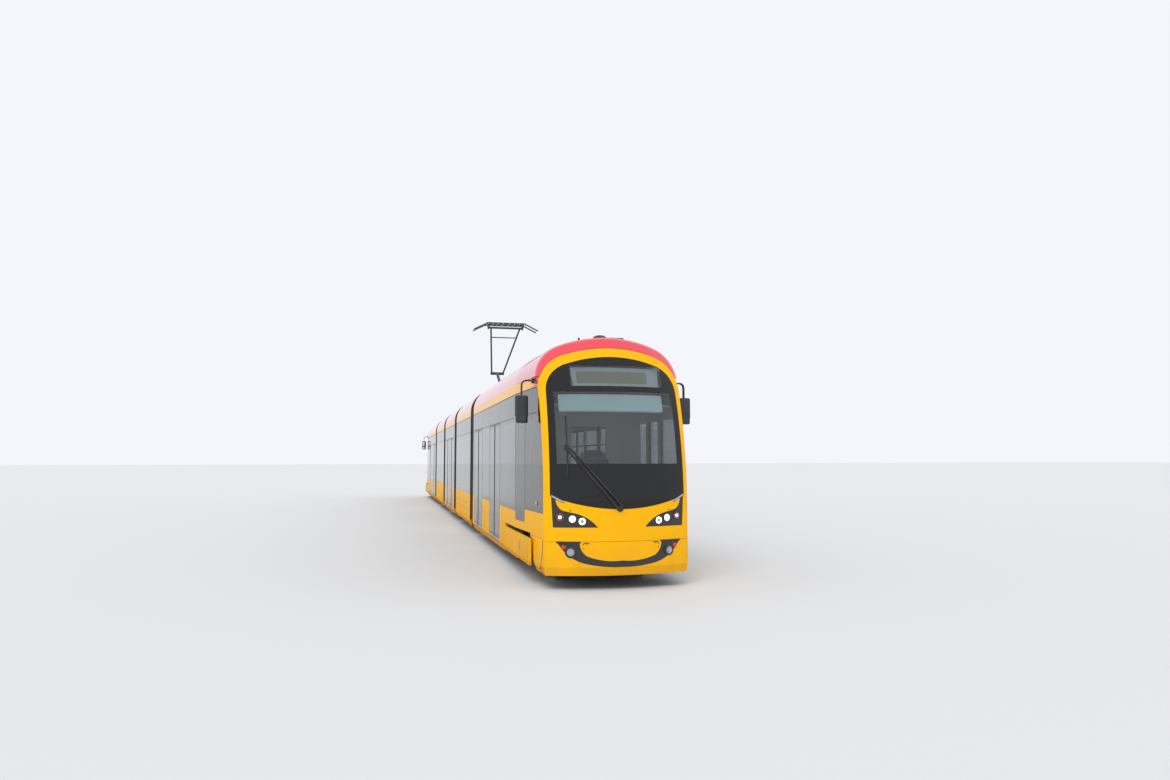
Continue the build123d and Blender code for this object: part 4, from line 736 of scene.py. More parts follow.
def slab(shape, side, sunk, proud, start, end, low, high):
    """Adds a block on one flank, from sunk inside a door leaf's face to proud of it."""
    near, far = sorted((side * (LEAF_FACE - sunk), side * (LEAF_FACE + proud)))
    block(shape, at(near, start, low), at(far, end, high), edge=0.003)


for places, doorways in DOORWAYS:
    rubbers, kicks, buttons, grips = (bmesh.new() for _ in range(4))
    for side in (-1, 1):
        for start, end in doorways:
            middle = (start + end) / 2
            for near, far in ((middle - EDGE_RUBBER, middle - 0.001), (middle + 0.001, middle + EDGE_RUBBER)):
                slab(rubbers, side, 0.040, 0.006, near, far, LEAF_FOOT + 0.01, HEADER - 0.02)
            for near, far in ((start + 0.008, middle - 0.030), (middle + 0.030, end - 0.008)):
                slab(kicks, side, 0.010, 0.004, near, far, LEAF_FOOT + 0.003, LEAF_FOOT + KICK_HIGH)
                slab(rubbers, side, 0.020, 0.001, near, far, LEAF_FOOT - 0.008, LEAF_FOOT + 0.002)
            for hinge, inward in ((start, 1), (end, -1)):
                setback = hinge + inward * 0.075
                near, far = GRIP_ACROSS
                low, high = GRIP_REACH
                pipe(grips, rounded([at(side * x, setback, up) for x, up in (
                    (far, low), (near, low), (near, high), (far, high))], 0.04), 0.014)
            centre = at(side * LEAF_FACE, middle + 0.050, BUTTON_UP)
            turn(kicks, [(-0.004, BUTTON_RING), (0.005, BUTTON_RING), (0.008, BUTTON_RING - 0.004),
                         (0.004, BUTTON_RING - 0.006)], centre, (side, 0, 0), steps=32)
            turn(buttons, [(0.0, BUTTON_RING - 0.007), (0.008, BUTTON_RING - 0.007), (0.011, BUTTON_RING * 0.4),
                           (0.0115, 0.0)], centre, (side, 0, 0))
    for name, shape, finish in (("door_rubbers", rubbers, rubber), ("door_kick_strips", kicks, steel),
                                ("door_buttons", buttons, button_green), ("door_grips", grips, steel)):
        made(name, shape, finish, places)

# Saloon: moulded seats on the wheel boxes and pedestals, bright grab poles, and the cab desk and chair.
# They show only through the tinted glass, so the shapes are full but the finishes quiet.
SEAT_BLUE = (0.030, 0.045, 0.085, 1)
SEAT_DARK = (0.020, 0.024, 0.034, 1)
SEAT_FADED = (0.055, 0.075, 0.120, 1)
SHELL_GREY = (0.20, 0.21, 0.22, 1)
SHELL_SHADE = (0.16, 0.17, 0.18, 1)
interior_finish = worked_finish("interior_finish", SEAT_BLUE, SEAT_DARK, mottle_scale=20.0, polish=0.6)
for end in SECTIONS:
    dress(f"interior_{end}", interior_finish)
seat_cloth = worked_finish("seat_cloth", SEAT_BLUE, SEAT_FADED, mottle_scale=40.0, grain_scale=900.0,
                           grain_depth=0.6, polish=0.78, Sheen_Weight=0.4)
seat_shell = worked_finish("seat_shell", SHELL_GREY, SHELL_SHADE, polish=0.45)
WHEEL_HOUSE = 0.845
SEAT_TOPS = {WHEEL_HOUSE: 0.955, FLOOR_LEVEL: 0.780}
SEAT_ROWS = (
    (AT_ENDS, ((2.300, 1, WHEEL_HOUSE), (3.650, -1, WHEEL_HOUSE),
               (5.900, 1, FLOOR_LEVEL), (6.900, -1, FLOOR_LEVEL))),
    (AT_INNER, ((10.450, 1, WHEEL_HOUSE), (11.690, -1, WHEEL_HOUSE),
                (11.820, 1, WHEEL_HOUSE), (13.060, -1, WHEEL_HOUSE))),
)
POLE_ROWS = ((AT_ENDS, ((5.780, FLOOR_LEVEL), (6.990, FLOOR_LEVEL))), (AT_INNER, ((11.755, WHEEL_HOUSE),)),
             (AT_MIDDLE, ((16.400, FLOOR_LEVEL), (16.600, FLOOR_LEVEL))))
SEAT_ACROSS = 0.745
SEAT_HALF = 0.310
PLACE_APART = 0.155
PLACE_HALF = 0.150
BACK_LEAN = -0.10
HANDLE_HALF = 0.20
POLE_ACROSS = 0.440
POLE_FLANGE = [(0.0, 0.045), (0.010, 0.045), (0.022, 0.024), (0.030, 0.019)]
CEILING = 2.600


def seat_block(shape, seat, half, near, far, low, high, **facts):
    """Adds a block of a seat: near and far count forward from its back, the way it faces."""
    middle, setback, facing = seat
    ends = sorted((setback + facing * near, setback + facing * far))
    block(shape, at(middle - half, ends[0], low), at(middle + half, ends[1], high), **facts)


for places, seats in SEAT_ROWS:
    shells, pads, backs, handles = (bmesh.new() for _ in range(4))
    for setback, facing, base in seats:
        top = SEAT_TOPS[base]
        lean = BACK_LEAN * facing
        for side in (-1, 1):
            middle = side * SEAT_ACROSS
            seat = (middle, setback, facing)
            seat_block(shells, seat, 0.20, 0.06, 0.34, base, top - 0.03, edge=0.012)
            seat_block(shells, seat, SEAT_HALF, 0.0, 0.44, top - 0.050, top - 0.018, edge=0.012, cuts=3)
            seat_block(shells, seat, SEAT_HALF, -0.035, 0.0, top - 0.03, top + 0.48, edge=0.014, cuts=3, lean=lean)
            for place in (-1, 1):
                seat = (middle + place * PLACE_APART, setback, facing)
                seat_block(pads, seat, PLACE_HALF, 0.060, 0.430, top - 0.022, top + 0.034, edge=0.026, cuts=4)
                seat_block(backs, seat, PLACE_HALF, -0.012, 0.042, top + 0.045, top + 0.465, edge=0.025,
                           cuts=4, lean=lean)
            back = setback - facing * 0.045
            bar = [(-1, back, 0.44), (-1, back - facing * 0.02, 0.52), (1, back - facing * 0.02, 0.52),
                   (1, back, 0.44)]
            pipe(handles, rounded([at(middle + way * HANDLE_HALF, spot, top + up) for way, spot, up in bar], 0.04),
                 0.011)
    made("seat_shells", shells, seat_shell, places)
    for piece in made("seat_pads", pads, seat_cloth, places) + made("seat_backs", backs, seat_cloth, places):
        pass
    made("seat_handles", handles, steel, places)
for places, rows in POLE_ROWS:
    poles = bmesh.new()
    for setback, base in rows:
        for side in (-1, 1):
            foot = at(side * POLE_ACROSS, setback, base)
            head = at(side * POLE_ACROSS, setback, CEILING)
            pipe(poles, [foot, head], 0.017, steps=16)
            turn(poles, POLE_FLANGE, foot, UP)
            turn(poles, POLE_FLANGE, head, (0, 0, -1))
    for piece in made("grab_poles", poles, steel, places):
        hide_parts(piece.name.replace("grab_poles", "interior"))

# Saloon lights and grab rails: flat diffusers along the ceiling, with a rail hung from brackets each side.
# The rails leave room at the doorways' headers and stop short of the gangways.
LIGHT_RUNS = ((AT_ENDS, 2.250, 8.800), (AT_INNER, 9.850, 13.650), (AT_MIDDLE, 14.700, 18.300))
LIGHT_ACROSS = 0.300
LIGHT_HALF = 0.055
RAIL_ACROSS = 0.640
RAIL_UP = 2.080
BRACKETS_APART = 1.3
diffuser = worked_finish("diffuser", (0.72, 0.73, 0.72, 1), (0.66, 0.67, 0.66, 1), polish=0.5,
                         grain_depth=0.0, Emission_Color=(1.0, 0.97, 0.92, 1), Emission_Strength=0.35)
for places, start, end in LIGHT_RUNS:
    lights, rails = bmesh.new(), bmesh.new()
    low, high = start + 0.15, end - 0.15
    brackets = max(1, round((high - low) / BRACKETS_APART))
    for side in (-1, 1):
        x = side * LIGHT_ACROSS
        block(lights, at(x - LIGHT_HALF, start, CEILING - 0.022), at(x + LIGHT_HALF, end, CEILING - 0.001),
              edge=0.008)
        x = side * RAIL_ACROSS
        pipe(rails, rounded([at(x, low, CEILING), at(x, low, RAIL_UP), at(x, high, RAIL_UP),
                             at(x, high, CEILING)], 0.10, 5), 0.016, steps=12)
        for step in range(1, brackets):
            setback = low + (high - low) * step / brackets
            pipe(rails, [at(x, setback, RAIL_UP), at(x, setback, CEILING)], 0.011, steps=8)
    made("ceiling_lights", lights, diffuser, places)
    made("ceiling_rails", rails, steel, places)

# Cab: a moulded desk across the nose with two screens and a lever, and a sprung chair with padded arms.
# The chair faces the nose, on a column bolted to the raised cab floor.
CAB_FLOOR = 0.900
DESK = (0.350, 0.850, 1.300, 1.180)
DESK_HALF = 0.850
DESK_SCREENS = ((-0.30, 0.16), (0.12, 0.14))
LEVER = [(0.0, 0.032), (0.010, 0.030), (0.014, 0.012), (0.075, 0.010), (0.080, 0.022), (0.115, 0.024),
         (0.125, 0.0)]
KNOB = [(0.0, 0.012), (0.012, 0.011), (0.015, 0.0)]
DESK_OUT = (0, 0.25, 1)
CHAIR = 1.650
CHAIR_TOP = CAB_FLOOR + 0.420
CHAIR_LEAN = 0.11
COLUMN = [(0.0, 0.180), (0.015, 0.180), (0.030, 0.070), (0.150, 0.060), (0.155, 0.090), (0.330, 0.085),
          (0.345, 0.060), (0.360, 0.058)]
desk, screens, knobs, column, cushion = (bmesh.new() for _ in range(5))
start, end, front_up, rear_up = DESK
profile = rounded([(0, start, (CAB_FLOOR + front_up) / 2), (0, start, CAB_FLOOR), (0, end - 0.150, CAB_FLOOR),
                   (0, end, rear_up), (0, end - 0.06, rear_up + 0.035), (0, start, front_up),
                   (0, start, (CAB_FLOOR + front_up) / 2)], 0.03, 4)
ends = []
for x in (-DESK_HALF, -DESK_HALF * 0.5, 0, DESK_HALF * 0.5, DESK_HALF):
    sweep = 0.05 * (1 - (x / DESK_HALF) ** 2)
    ends.append([desk.verts.new(at(x, point.y - sweep * (point.y > start + 0.02), point.z))
                 for point in profile[:-1]])
bridge(desk, ends)
desk.faces.new(ends[0])
desk.faces.new(ends[-1])
for x, half in DESK_SCREENS:
    row = start + 0.190
    block(desk, at(x - half - 0.02, row, 1.250), at(x + half + 0.02, row + 0.05, 1.430), edge=0.012, lean=0.35)
    block(screens, at(x - half, row + 0.034, 1.275), at(x + half, row + 0.056, 1.412), edge=0.003, lean=0.35)
turn(knobs, LEVER, at(-0.45, 0.62, 1.225), DESK_OUT)
for step in range(10):
    line, place = divmod(step, 5)
    turn(knobs, KNOB, at(0.34 + 0.045 * place, 0.600 + 0.055 * line, 1.222 - 0.012 * line), DESK_OUT, steps=12)
made("cab_desk", desk, seat_shell, AT_ENDS)
made("cab_screens", screens, interior_finish, AT_ENDS)
made("cab_controls", knobs, rubber, AT_ENDS)
turn(column, COLUMN, at(0, CHAIR - 0.220, CAB_FLOOR), UP, steps=32)
for shape, half, near, far, low, high, facts in (
        (column, 0.225, -0.450, -0.020, -0.060, -0.020, {"edge": 0.015}),
        (column, 0.215, -0.005, 0.035, -0.050, 0.600, {"edge": 0.018, "lean": CHAIR_LEAN}),
        (cushion, 0.245, -0.470, -0.060, -0.022, 0.050, {"edge": 0.034, "cuts": 5}),
        (cushion, 0.235, -0.075, -0.005, 0.060, 0.500, {"edge": 0.034, "cuts": 5, "lean": CHAIR_LEAN}),
        (cushion, 0.140, -0.015, 0.050, 0.520, 0.640, {"edge": 0.030, "cuts": 5, "lean": CHAIR_LEAN})):
    block(shape, at(-half, CHAIR + near, CHAIR_TOP + low), at(half, CHAIR + far, CHAIR_TOP + high), **facts)
for side in (-1, 1):
    arm = side * 0.285
    block(cushion, at(arm - 0.030, CHAIR - 0.330, CHAIR_TOP + 0.180),
          at(arm + 0.030, CHAIR - 0.050, CHAIR_TOP + 0.225), edge=0.020, cuts=4)
    pipe(column, rounded([at(side * 0.215, CHAIR - 0.02, CHAIR_TOP + 0.02), at(arm, CHAIR - 0.03, CHAIR_TOP + 0.02),
                          at(arm, CHAIR - 0.10, CHAIR_TOP + 0.19)], 0.04), 0.013)
made("chair_frame", column, seat_shell, AT_ENDS)
for piece in made("chair_cushions", cushion, seat_cloth, AT_ENDS):
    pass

# Nose: two moulded plastic shells in the same yellow, a mask with its ring and a bumper below.
# The seam between them is open, and the windscreen and lamps sit flush in the mask.
mask_paint = lacquered("mask_paint", YELLOW, YELLOW_DEEP, film_top=0.9, film_amount=0.35)[0]
for end in ("front", "rear"):
    dress(f"mask_{end}", mask_paint)
    dress(f"bumper_{end}", mask_paint)

# Lamp housings: one gloss black moulding round the headlamps and one along the bumper.
# Both are moulded plastic, fixed from behind and flush with the yellow shells.
LAMP_BLACK = (0.007, 0.007, 0.008, 1)
lamp_black = worked_finish("lamp_black", LAMP_BLACK, DOOR_BLACK, polish=0.10, grain_depth=0.0, Coat_Weight=0.6)
for end in ("front", "rear"):
    dress(f"lamps_{end}", lamp_black)

# Lamps: each has a black bezel, a bright bowl and a clear lens; red, white and amber by their work.
# Two silver light strips end the upper black corners, and the fog lamps sit in the dark crescent.
NOSE_RADIUS = 2.500
LEAN_RADIUS = 5.000
LEAN_START = 1.100
HEADLAMPS = ((0.868, 0.996, 0.066), (0.700, 0.972, 0.062), (0.565, 0.939, 0.060))
FOG_LAMP = (0.722, 0.512, 0.064)
REFLECTOR = (0.820, 0.580, 0.036)
MARKER = (0.715, 1.168)
BOX_CATCH = (1.820, 0.460)
LAMP_SUNK = 0.008
STRIP_ENDS = ((0.802, 1.217), (0.977, 1.296))
STRIP_WIDTH = 0.034
UPPER_BAR = (0.585, 0.905, 0.630, 0.662)
SILVER = (0.62, 0.63, 0.64, 1)
SILVER_DULL = (0.42, 0.43, 0.44, 1)
silver = worked_finish("silver", SILVER, SILVER_DULL, polish=0.16, grain_depth=0.03, Metallic=1.0)


def lens_finish(name, colour, glow=0.0, ribs=90.0, **constants):
    """Moulded lens plastic with fine prisms; glow is how strongly a lit lamp shines, and on the sun visor and
    screen frame it is painted light.
    """
    material, tree, shader = start_finish(name, Base_Color=colour, Emission_Color=colour,
                                          Emission_Strength=glow, **constants)
    where = wire(tree, "TexCoord").outputs["Object"]
    prisms = wire(tree, "TexWave", {"Vector": where, "Scale": ribs, "Distortion": 0.0}, bands_direction="X")
    relief = wire(tree, "Bump", {"Strength": 0.25, "Distance": 0.002, "Height": prisms.outputs[0]})
    join(tree, shader, Normal=relief.outputs[0])
    return material


lens_clear = lens_finish("lens_clear", (0.95, 0.96, 0.97, 1), Roughness=0.03, Transmission_Weight=1.0,
                         IOR=1.45)
lens_red = lens_finish("lens_red", (0.50, 0.012, 0.016, 1), Roughness=0.12, Coat_Weight=1.0)
lens_amber = lens_finish("lens_amber", (0.80, 0.16, 0.010, 1), Roughness=0.12, Coat_Weight=1.0)
lamp_lit = lens_finish("lamp_lit", (1.0, 0.97, 0.90, 1), glow=2.2, Roughness=0.3)


def on_nose(across, up, lift=0.0):
    """A point over the curved front, up being its height above the rail."""
    rise = max(up - LEAN_START, 0)
    root = math.sqrt(LEAN_RADIUS ** 2 - rise ** 2)
    radius = NOSE_RADIUS - LEAN_RADIUS + root
    depth = math.sqrt(radius ** 2 - across ** 2)
    out = Vector((across / radius, -depth / radius, rise / root)).normalized()
    return Vector((across, NOSE_RADIUS - HALF_LENGTH - depth, up + RAIL)) + out * lift


def oval(across, up, half_across, half_up, steps=24):
    """Outline points of an oval."""
    return [(across + half_across * math.cos(math.tau * step / steps),
             up + half_up * math.sin(math.tau * step / steps)) for step in range(steps)]


def panel(corners, radius, gap=0.08):
    """Outline points of a shape with straight sides and rounded corners, close enough to bend."""
    middles = [((a[0] + b[0]) / 2, (a[1] + b[1]) / 2, 0) for a, b in zip(corners, corners[1:] + corners[:1])]
    path = [middles[-1]]
    for corner, middle in zip(corners, middles):
        path += [(corner[0], corner[1], 0), middle]
    points = rounded(path, radius)
    outline = []
    for start, end in zip(points, points[1:]):
        parts = max(1, math.ceil((end - start).length / gap))
        for part in range(parts):
            if (end - start).length > 1e-6:
                spot = start.lerp(end, part / parts)
                outline.append((spot.x, spot.y))
    return outline


def plate(shape, outline, spot, thick=0.005, sunk=0.004, edge=0.94, dome=0.0, rings=4):
    """Adds a thin plate or lens with eased edges that follows the surface given by spot."""
    middle = [sum(point[way] for point in outline) / len(outline) for way in (0, 1)]
    levels = [(1.0, -sunk), (1.0, thick * 0.6), (edge, thick + dome * (1 - edge ** 2))]
    for number in range(1, rings):
        share = edge * (1 - number / rings)
        levels.append((share, thick + dome * (1 - share ** 2)))
    loops = []
    for share, lift in levels:
        loops.append([shape.verts.new(spot(middle[0] + (across - middle[0]) * share,
                                           middle[1] + (up - middle[1]) * share, lift))
                      for across, up in outline])
    bridge(shape, loops)
    tip = shape.verts.new(spot(*middle, thick + dome))
    for step in range(len(outline)):
        shape.faces.new((loops[-1][step], loops[-1][(step + 1) % len(outline)], tip))
    shape.faces.new(list(reversed(loops[0])))


bezels, bowls, lit, clear, red, amber, dark = (bmesh.new() for _ in range(7))
for side in (-1, 1):
    for number, (across, up, radius) in enumerate(HEADLAMPS + (FOG_LAMP,)):
        centre = on_nose(side * across, up, 0.004 if number == len(HEADLAMPS) else -LAMP_SUNK)
        out = on_nose(side * across, up, 1) - on_nose(side * across, up, 0)
        turn(bezels, [(-0.004, radius), (0.007, radius), (0.010, radius - 0.003), (0.009, radius - 0.007),
                      (0.002, radius - 0.009), (-0.004, radius - 0.009)], centre, out, steps=40)
        turn(bowls if number else red, [
            (0.000, radius - 0.008), (0.002, radius - 0.010), (0.0005, radius * 0.55), (0.003, radius * 0.5),
            (0.003, 0.0)], centre, out, steps=32)
        turn(clear, [(0.0045, radius - 0.008), (0.0075, radius - 0.012), (0.011, radius * 0.6),
                     (0.013, radius * 0.3), (0.0135, 0.0)], centre, out, steps=32)
        if number in (0, 1):
            size = radius * (0.34 if number == 0 else 0.72)
            turn(lit, [(0.002, size), (0.0042, size * 0.96), (0.0043, 0.0)], centre, out)
        if number == 2:
            turn(lit, [(0.002, 0.046), (0.0042, 0.045), (0.0042, 0.026), (0.002, 0.025)], centre, out, steps=32)
    across, up, radius = FOG_LAMP
    plate(dark, oval(side * across, up, radius + 0.016, radius + 0.020), on_nose, thick=0.003, sunk=0.012,
          edge=0.96)
    across, up, radius = REFLECTOR
    plate(red, oval(side * across, up, radius, radius * 0.85), on_nose, thick=0.006, sunk=0.010, dome=0.003)
    (low_x, low_z), (high_x, high_z) = STRIP_ENDS
    for shape, wide, thick in ((bezels, STRIP_WIDTH + 0.012, 0.004), (bowls, STRIP_WIDTH, 0.007)):
        half = wide / 2
        corners = [(side * (low_x - 0.01), low_z - half * 0.5), (side * (low_x + 0.02), low_z - half * 1.1),
                   (side * high_x, high_z - half), (side * (high_x + 0.012), high_z + half)]
        plate(shape, panel(corners, 0.008), on_nose, thick=thick, sunk=0.010, edge=0.9)
    low, high, foot, top = UPPER_BAR
    corners = [(side * low, foot + 0.006), (side * high, foot), (side * (high + 0.018), top),
               (side * low, top - 0.002)]
    plate(dark, panel(corners, 0.008), on_nose, thick=0.007, edge=0.9)
    plate(amber, oval(*MARKER, 0.050, 0.028), on_side(side), thick=0.010, dome=0.012, sunk=0.012)
    plate(bezels, oval(*MARKER, 0.060, 0.038), on_side(side), thick=0.006, sunk=0.012, edge=0.88)
    plate(dark, oval(*BOX_CATCH, 0.026, 0.070),
          lambda setback, up, lift: at(side * (HALF_WIDTH + lift), setback, up), thick=0.004)
    plate(dark, oval(side * 0.728, 1.089, 0.010, 0.010, 12), on_nose, thick=0.004)
for name, shape, finish in (("lamp_bezels", bezels, lamp_black), ("lamp_bowls", bowls, silver),
                            ("lamps_lit", lit, lamp_lit), ("lamp_lenses", clear, lens_clear),
                            ("lamps_red", red, lens_red), ("lamps_amber", amber, lens_amber),
                            ("dark_trim", dark, lamp_black)):
    made(name, shape, finish, AT_ENDS)

# The towing cover is a yellow panel between the crescent and the mask, with two turned catches.
# Each side of the bumper carries a lobed hatch, held flush by hidden hinges.
CATCHES = ((0.556, 0.640), (0.500, 0.626), (0.549, 0.561))
LOBE = ((0.345, 0.672), (0.345, 0.520), (0.470, 0.262), (0.675, 0.225), (0.880, 0.270), (1.030, 0.520),
        (1.030, 0.672))
catches, lobes, gaps = (bmesh.new() for _ in range(3))
for side in (-1, 1):
    (x0, z0), (x1, z1), (x2, z2) = CATCHES
    hook = [on_nose(side * x, z, 0.003) for x, z in
            ((x0, z0 - 0.030), (x0 - 0.012, z0 - 0.006), (x0 - 0.045, z0), (x0 - 0.085, z0 - 0.006))]
    pipe(catches, rounded(hook, 0.02), 0.005, steps=8)
    plate(catches, oval(side * x1, z1, 0.008, 0.008, 12), on_nose, thick=0.004)
    plate(catches, oval(side * x2, z2, 0.007, 0.007, 12), on_nose, thick=0.004)
made("cover_catches", catches, lamp_black, AT_ENDS)
for side in (-1, 1):
    outline = [(point.x, point.y) for point in rounded([(s, z, 0) for s, z in LOBE], 0.12, 6)]
    place = on_side(side)

    def tucked(setback, up, lift=0.0):
        """The flank with the sill's tuck at its foot."""
        return place(setback, up, lift) - Vector((side * max(0.0, 0.300 - up) * 0.35, 0, 0))

    plate(lobes, outline, tucked, thick=0.006, sunk=0.004, edge=0.97)
    pipe(gaps, [tucked(s, z, 0.001) for s, z in outline], 0.004, steps=6)
made("hatch_lobes", lobes, mask_paint, AT_ENDS)
made("hatch_gaps", gaps, rubber, AT_ENDS)

# Wiper: two steel bars side by side, closing in from a cast foot to a pad at the elbow.
# From the pad a long carrier and its rubber blade stand upright on the glass.
WIPER_PIVOT = (-0.030, 1.118)
WIPER_ELBOW = (-0.755, 1.974)
WIPER_SPACE = 0.034
WIPER_FOOT = [(-0.004, 0.050), (0.010, 0.048), (0.016, 0.034), (0.040, 0.032), (0.046, 0.024), (0.047, 0.0)]
PAD = ((-0.040, -0.036), (0.036, -0.036), (0.036, 0.036), (-0.040, 0.036))
BLADE_LOW = 1.571
BLADE_TOP = 2.430
ARM_LIFT = 0.034
arm, blade = bmesh.new(), bmesh.new()
out = on_nose(*WIPER_PIVOT, 1) - on_nose(*WIPER_PIVOT, 0)
turn(arm, WIPER_FOOT, on_nose(*WIPER_PIVOT), out)
foot, elbow = Vector(WIPER_PIVOT), Vector(WIPER_ELBOW)
run = (elbow - foot).normalized()
for side in (-1, 1):
    path = []
    for step in range(13):
        share = step / 12
        spot = foot.lerp(elbow, share) + side * WIPER_SPACE * (1 - 0.4 * share) * Vector((-run.y, run.x))
        path.append(on_nose(spot.x, spot.y, ARM_LIFT))
    pipe(arm, path, 0.0165, steps=12)
pad = [(elbow.x + across, elbow.y + up) for across, up in PAD]
plate(arm, panel(pad, 0.015), on_nose, thick=ARM_LIFT + 0.010, sunk=-ARM_LIFT + 0.012, edge=0.9)
rows = [BLADE_LOW + (BLADE_TOP - BLADE_LOW) * step / 14 for step in range(15)]
pipe(arm, [on_nose(elbow.x, up, 0.026) for up in rows], 0.0110, steps=8)
pipe(blade, [on_nose(elbow.x, up, 0.010) for up in rows], 0.0085, steps=6)
for piece in made("wiper_arm", arm, rubber, AT_ENDS):
    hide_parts(piece.name.replace("wiper_arm", "wiper"))
made("wiper_blade", blade, rubber, AT_ENDS)

# Mirrors: heated mirrors in deep moulded pods, each hung from two bent tubes on a black foot.
# A flat glass fills the upper part of a pod, and a smaller wide-angle glass lies below it.
MIRROR_X = 1.290
MIRROR_S = 0.970
POD_ACROSS = 0.098
POD_ALONG = 0.054
POD_LOW = 2.352
POD_TOP = 2.768
GLASS_HALF = 0.078
TUBE_Z = 2.990
TUBE_ROOT = 1.045
TUBE_FOOT = [(-0.03, 0.052), (0.012, 0.052), (0.020, 0.040), (0.070, 0.034), (0.074, 0.0)]
pods, tubes, faces, feet = (bmesh.new() for _ in range(4))
for side in (-1, 1):
    x = side * MIRROR_X
    for shape, half, near, far, low, high, edge, cuts in (
            (pods, POD_ACROSS, -POD_ALONG, POD_ALONG, POD_LOW + 0.085, POD_TOP, 0.036, 4),
            (feet, POD_ACROSS - 0.004, 0.003 - POD_ALONG, POD_ALONG - 0.003, POD_LOW, POD_LOW + 0.130, 0.034, 4),
            (faces, GLASS_HALF, POD_ALONG - 0.006, POD_ALONG + 0.002, POD_LOW + 0.150, POD_TOP - 0.040, 0.004, 2),
            (faces, GLASS_HALF, POD_ALONG - 0.008, POD_ALONG + 0.001, POD_LOW + 0.025, POD_LOW + 0.120, 0.004, 2)):
        block(shape, at(x - half, MIRROR_S + near, low), at(x + half, MIRROR_S + far, high), edge=edge, cuts=cuts)
    for shift in (-0.022, 0.022):
        row = MIRROR_S + shift
        pipe(tubes, rounded([at(side * TUBE_ROOT, row, TUBE_Z), at(x, row, TUBE_Z + 0.012),
                             at(x, row, POD_TOP - 0.02)], 0.09, 6), 0.011)
    turn(feet, TUBE_FOOT, at(side * (TUBE_ROOT + 0.030), MIRROR_S, TUBE_Z), (side, 0, 0.05))
plastic = worked_finish("plastic", (0.030, 0.031, 0.034, 1), (0.045, 0.046, 0.050, 1), polish=0.42)
mirror_glass = worked_finish("mirror_glass", (0.78, 0.80, 0.82, 1), SILVER, polish=0.02, grain_depth=0.0,
                             Metallic=1.0)
for piece in made("mirror_pods", pods, plastic, AT_ENDS):
    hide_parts(piece.name.replace("mirror_pods", "mirrors"))
made("mirror_tubes", tubes, plastic, AT_ENDS)
made("mirror_faces", faces, mirror_glass, AT_ENDS)
made("mirror_feet", feet, lamp_black, AT_ENDS)
for end in ("front", "rear"):
    dress(f"mirrors_{end}", plastic)
    dress(f"wiper_{end}", door_paint)

# Destination screen and tinted sun visor, both close behind the windscreen.
# The screen is a case with a frame and a dotted panel, lit and left blank; the glow of the frame and of the visor
# is painted light.
SCREEN_FRAME = (-0.647, 0.772, 2.880, 3.200)
SCREEN_PANEL = (-0.560, 0.550, 2.950, 3.135)
SCREEN_CASE = (-0.760, 0.880, 2.840, 3.270)
VISOR = (-0.850, 0.770, 2.530, 2.780)
BEHIND = -0.075
# The screen frame and the sun visor glow faintly though neither is a lamp: painted light.
screen_grey = lens_finish("screen_grey", (0.30, 0.36, 0.39, 1), glow=0.25, ribs=2.0, Roughness=0.35)
screen_dots = lens_finish("screen_dots", (0.155, 0.175, 0.120, 1), glow=0.30, ribs=60.0, Roughness=0.4)
visor_plastic = lens_finish("visor_plastic", (0.42, 0.56, 0.58, 1), glow=0.18, ribs=30.0, Roughness=0.8)


def behind(across, up, lift=0.0):
    """A place behind the windscreen."""
    return on_nose(across, up, BEHIND + lift)


for name, (low, high, foot, top), finish, thick in (
        ("screen_case", SCREEN_CASE, lamp_black, -0.026), ("screen_frame", SCREEN_FRAME, screen_grey, 0.004),
        ("screen_panel", SCREEN_PANEL, screen_dots, 0.010), ("sun_visor", VISOR, visor_plastic, 0.006)):
    shape = bmesh.new()
    inner = 0.03 if name == "screen_frame" else 0.0
    corners = [(low + inner, foot), (high - inner, foot), (high, top), (low, top)]
    plate(shape, panel(corners, 0.02), behind, thick=thick, sunk=0.045, edge=0.985, rings=6)
    made(name, shape, finish, AT_ENDS)

# Roof fairings: gloss red plastic shoulders, bolted to the cantrail, with the plant behind them.
# The grey cases have two fans each under ring grilles, and pipes run from case to case.
CASE_GREY = (0.36, 0.37, 0.37, 1)
CASE_SHADE = (0.27, 0.27, 0.27, 1)
roof_red = lacquered("roof_red", ROOF_RED, ROOF_RED_DEEP, film_top=0.4, ripple=0.012, shine=1.0, gloss=0.4)[0]
case_paint = worked_finish("case_paint", CASE_GREY, CASE_SHADE, mottle_scale=2.0, polish=0.5)
for end in SECTIONS:
    dress(f"fairing_{end}", roof_red)
for node in ("roof_cases_front", "roof_cases_rear", "roof_cases_middle", "roof_cases_bogie_rear",
             "pantograph_base"):
    dress(node, case_paint)
ROOF_DECK = 2.800
ROOF_CASES = (
    (AT_ENDS, ((2.100, 3.300, 0.560, 0.560), (3.700, 6.300, 0.600, 0.640), (6.700, 8.300, 0.560, 0.520))),
    (AT_INNER[:1], ((9.900, 11.200, 0.560, 0.560),)),
    (AT_MIDDLE, ((14.800, 17.200, 0.600, 0.640), (17.400, 18.200, 0.560, 0.520))),
    (AT_INNER[1:], ((10.100, 12.000, 0.600, 0.600), (12.300, 13.500, 0.560, 0.560))),
)
FAN_RADIUS = 0.230
FAN_BLADES = 7
FAN_RINGS = (0.075, 0.115, 0.155, 0.195, 0.233)
BLADE_RADII = (0.062, 0.110, 0.160, 0.215)
BLADE_TWIST = (0.0, 0.2, 0.4, 0.55)
CASE_BOLT = [(-0.004, 0.011), (0.003, 0.011), (0.0035, 0.008), (0.009, 0.008), (0.010, 0.006)]
BOLTS_APART = 0.30
PIPES_ACROSS = (-0.30, -0.22, 0.26)
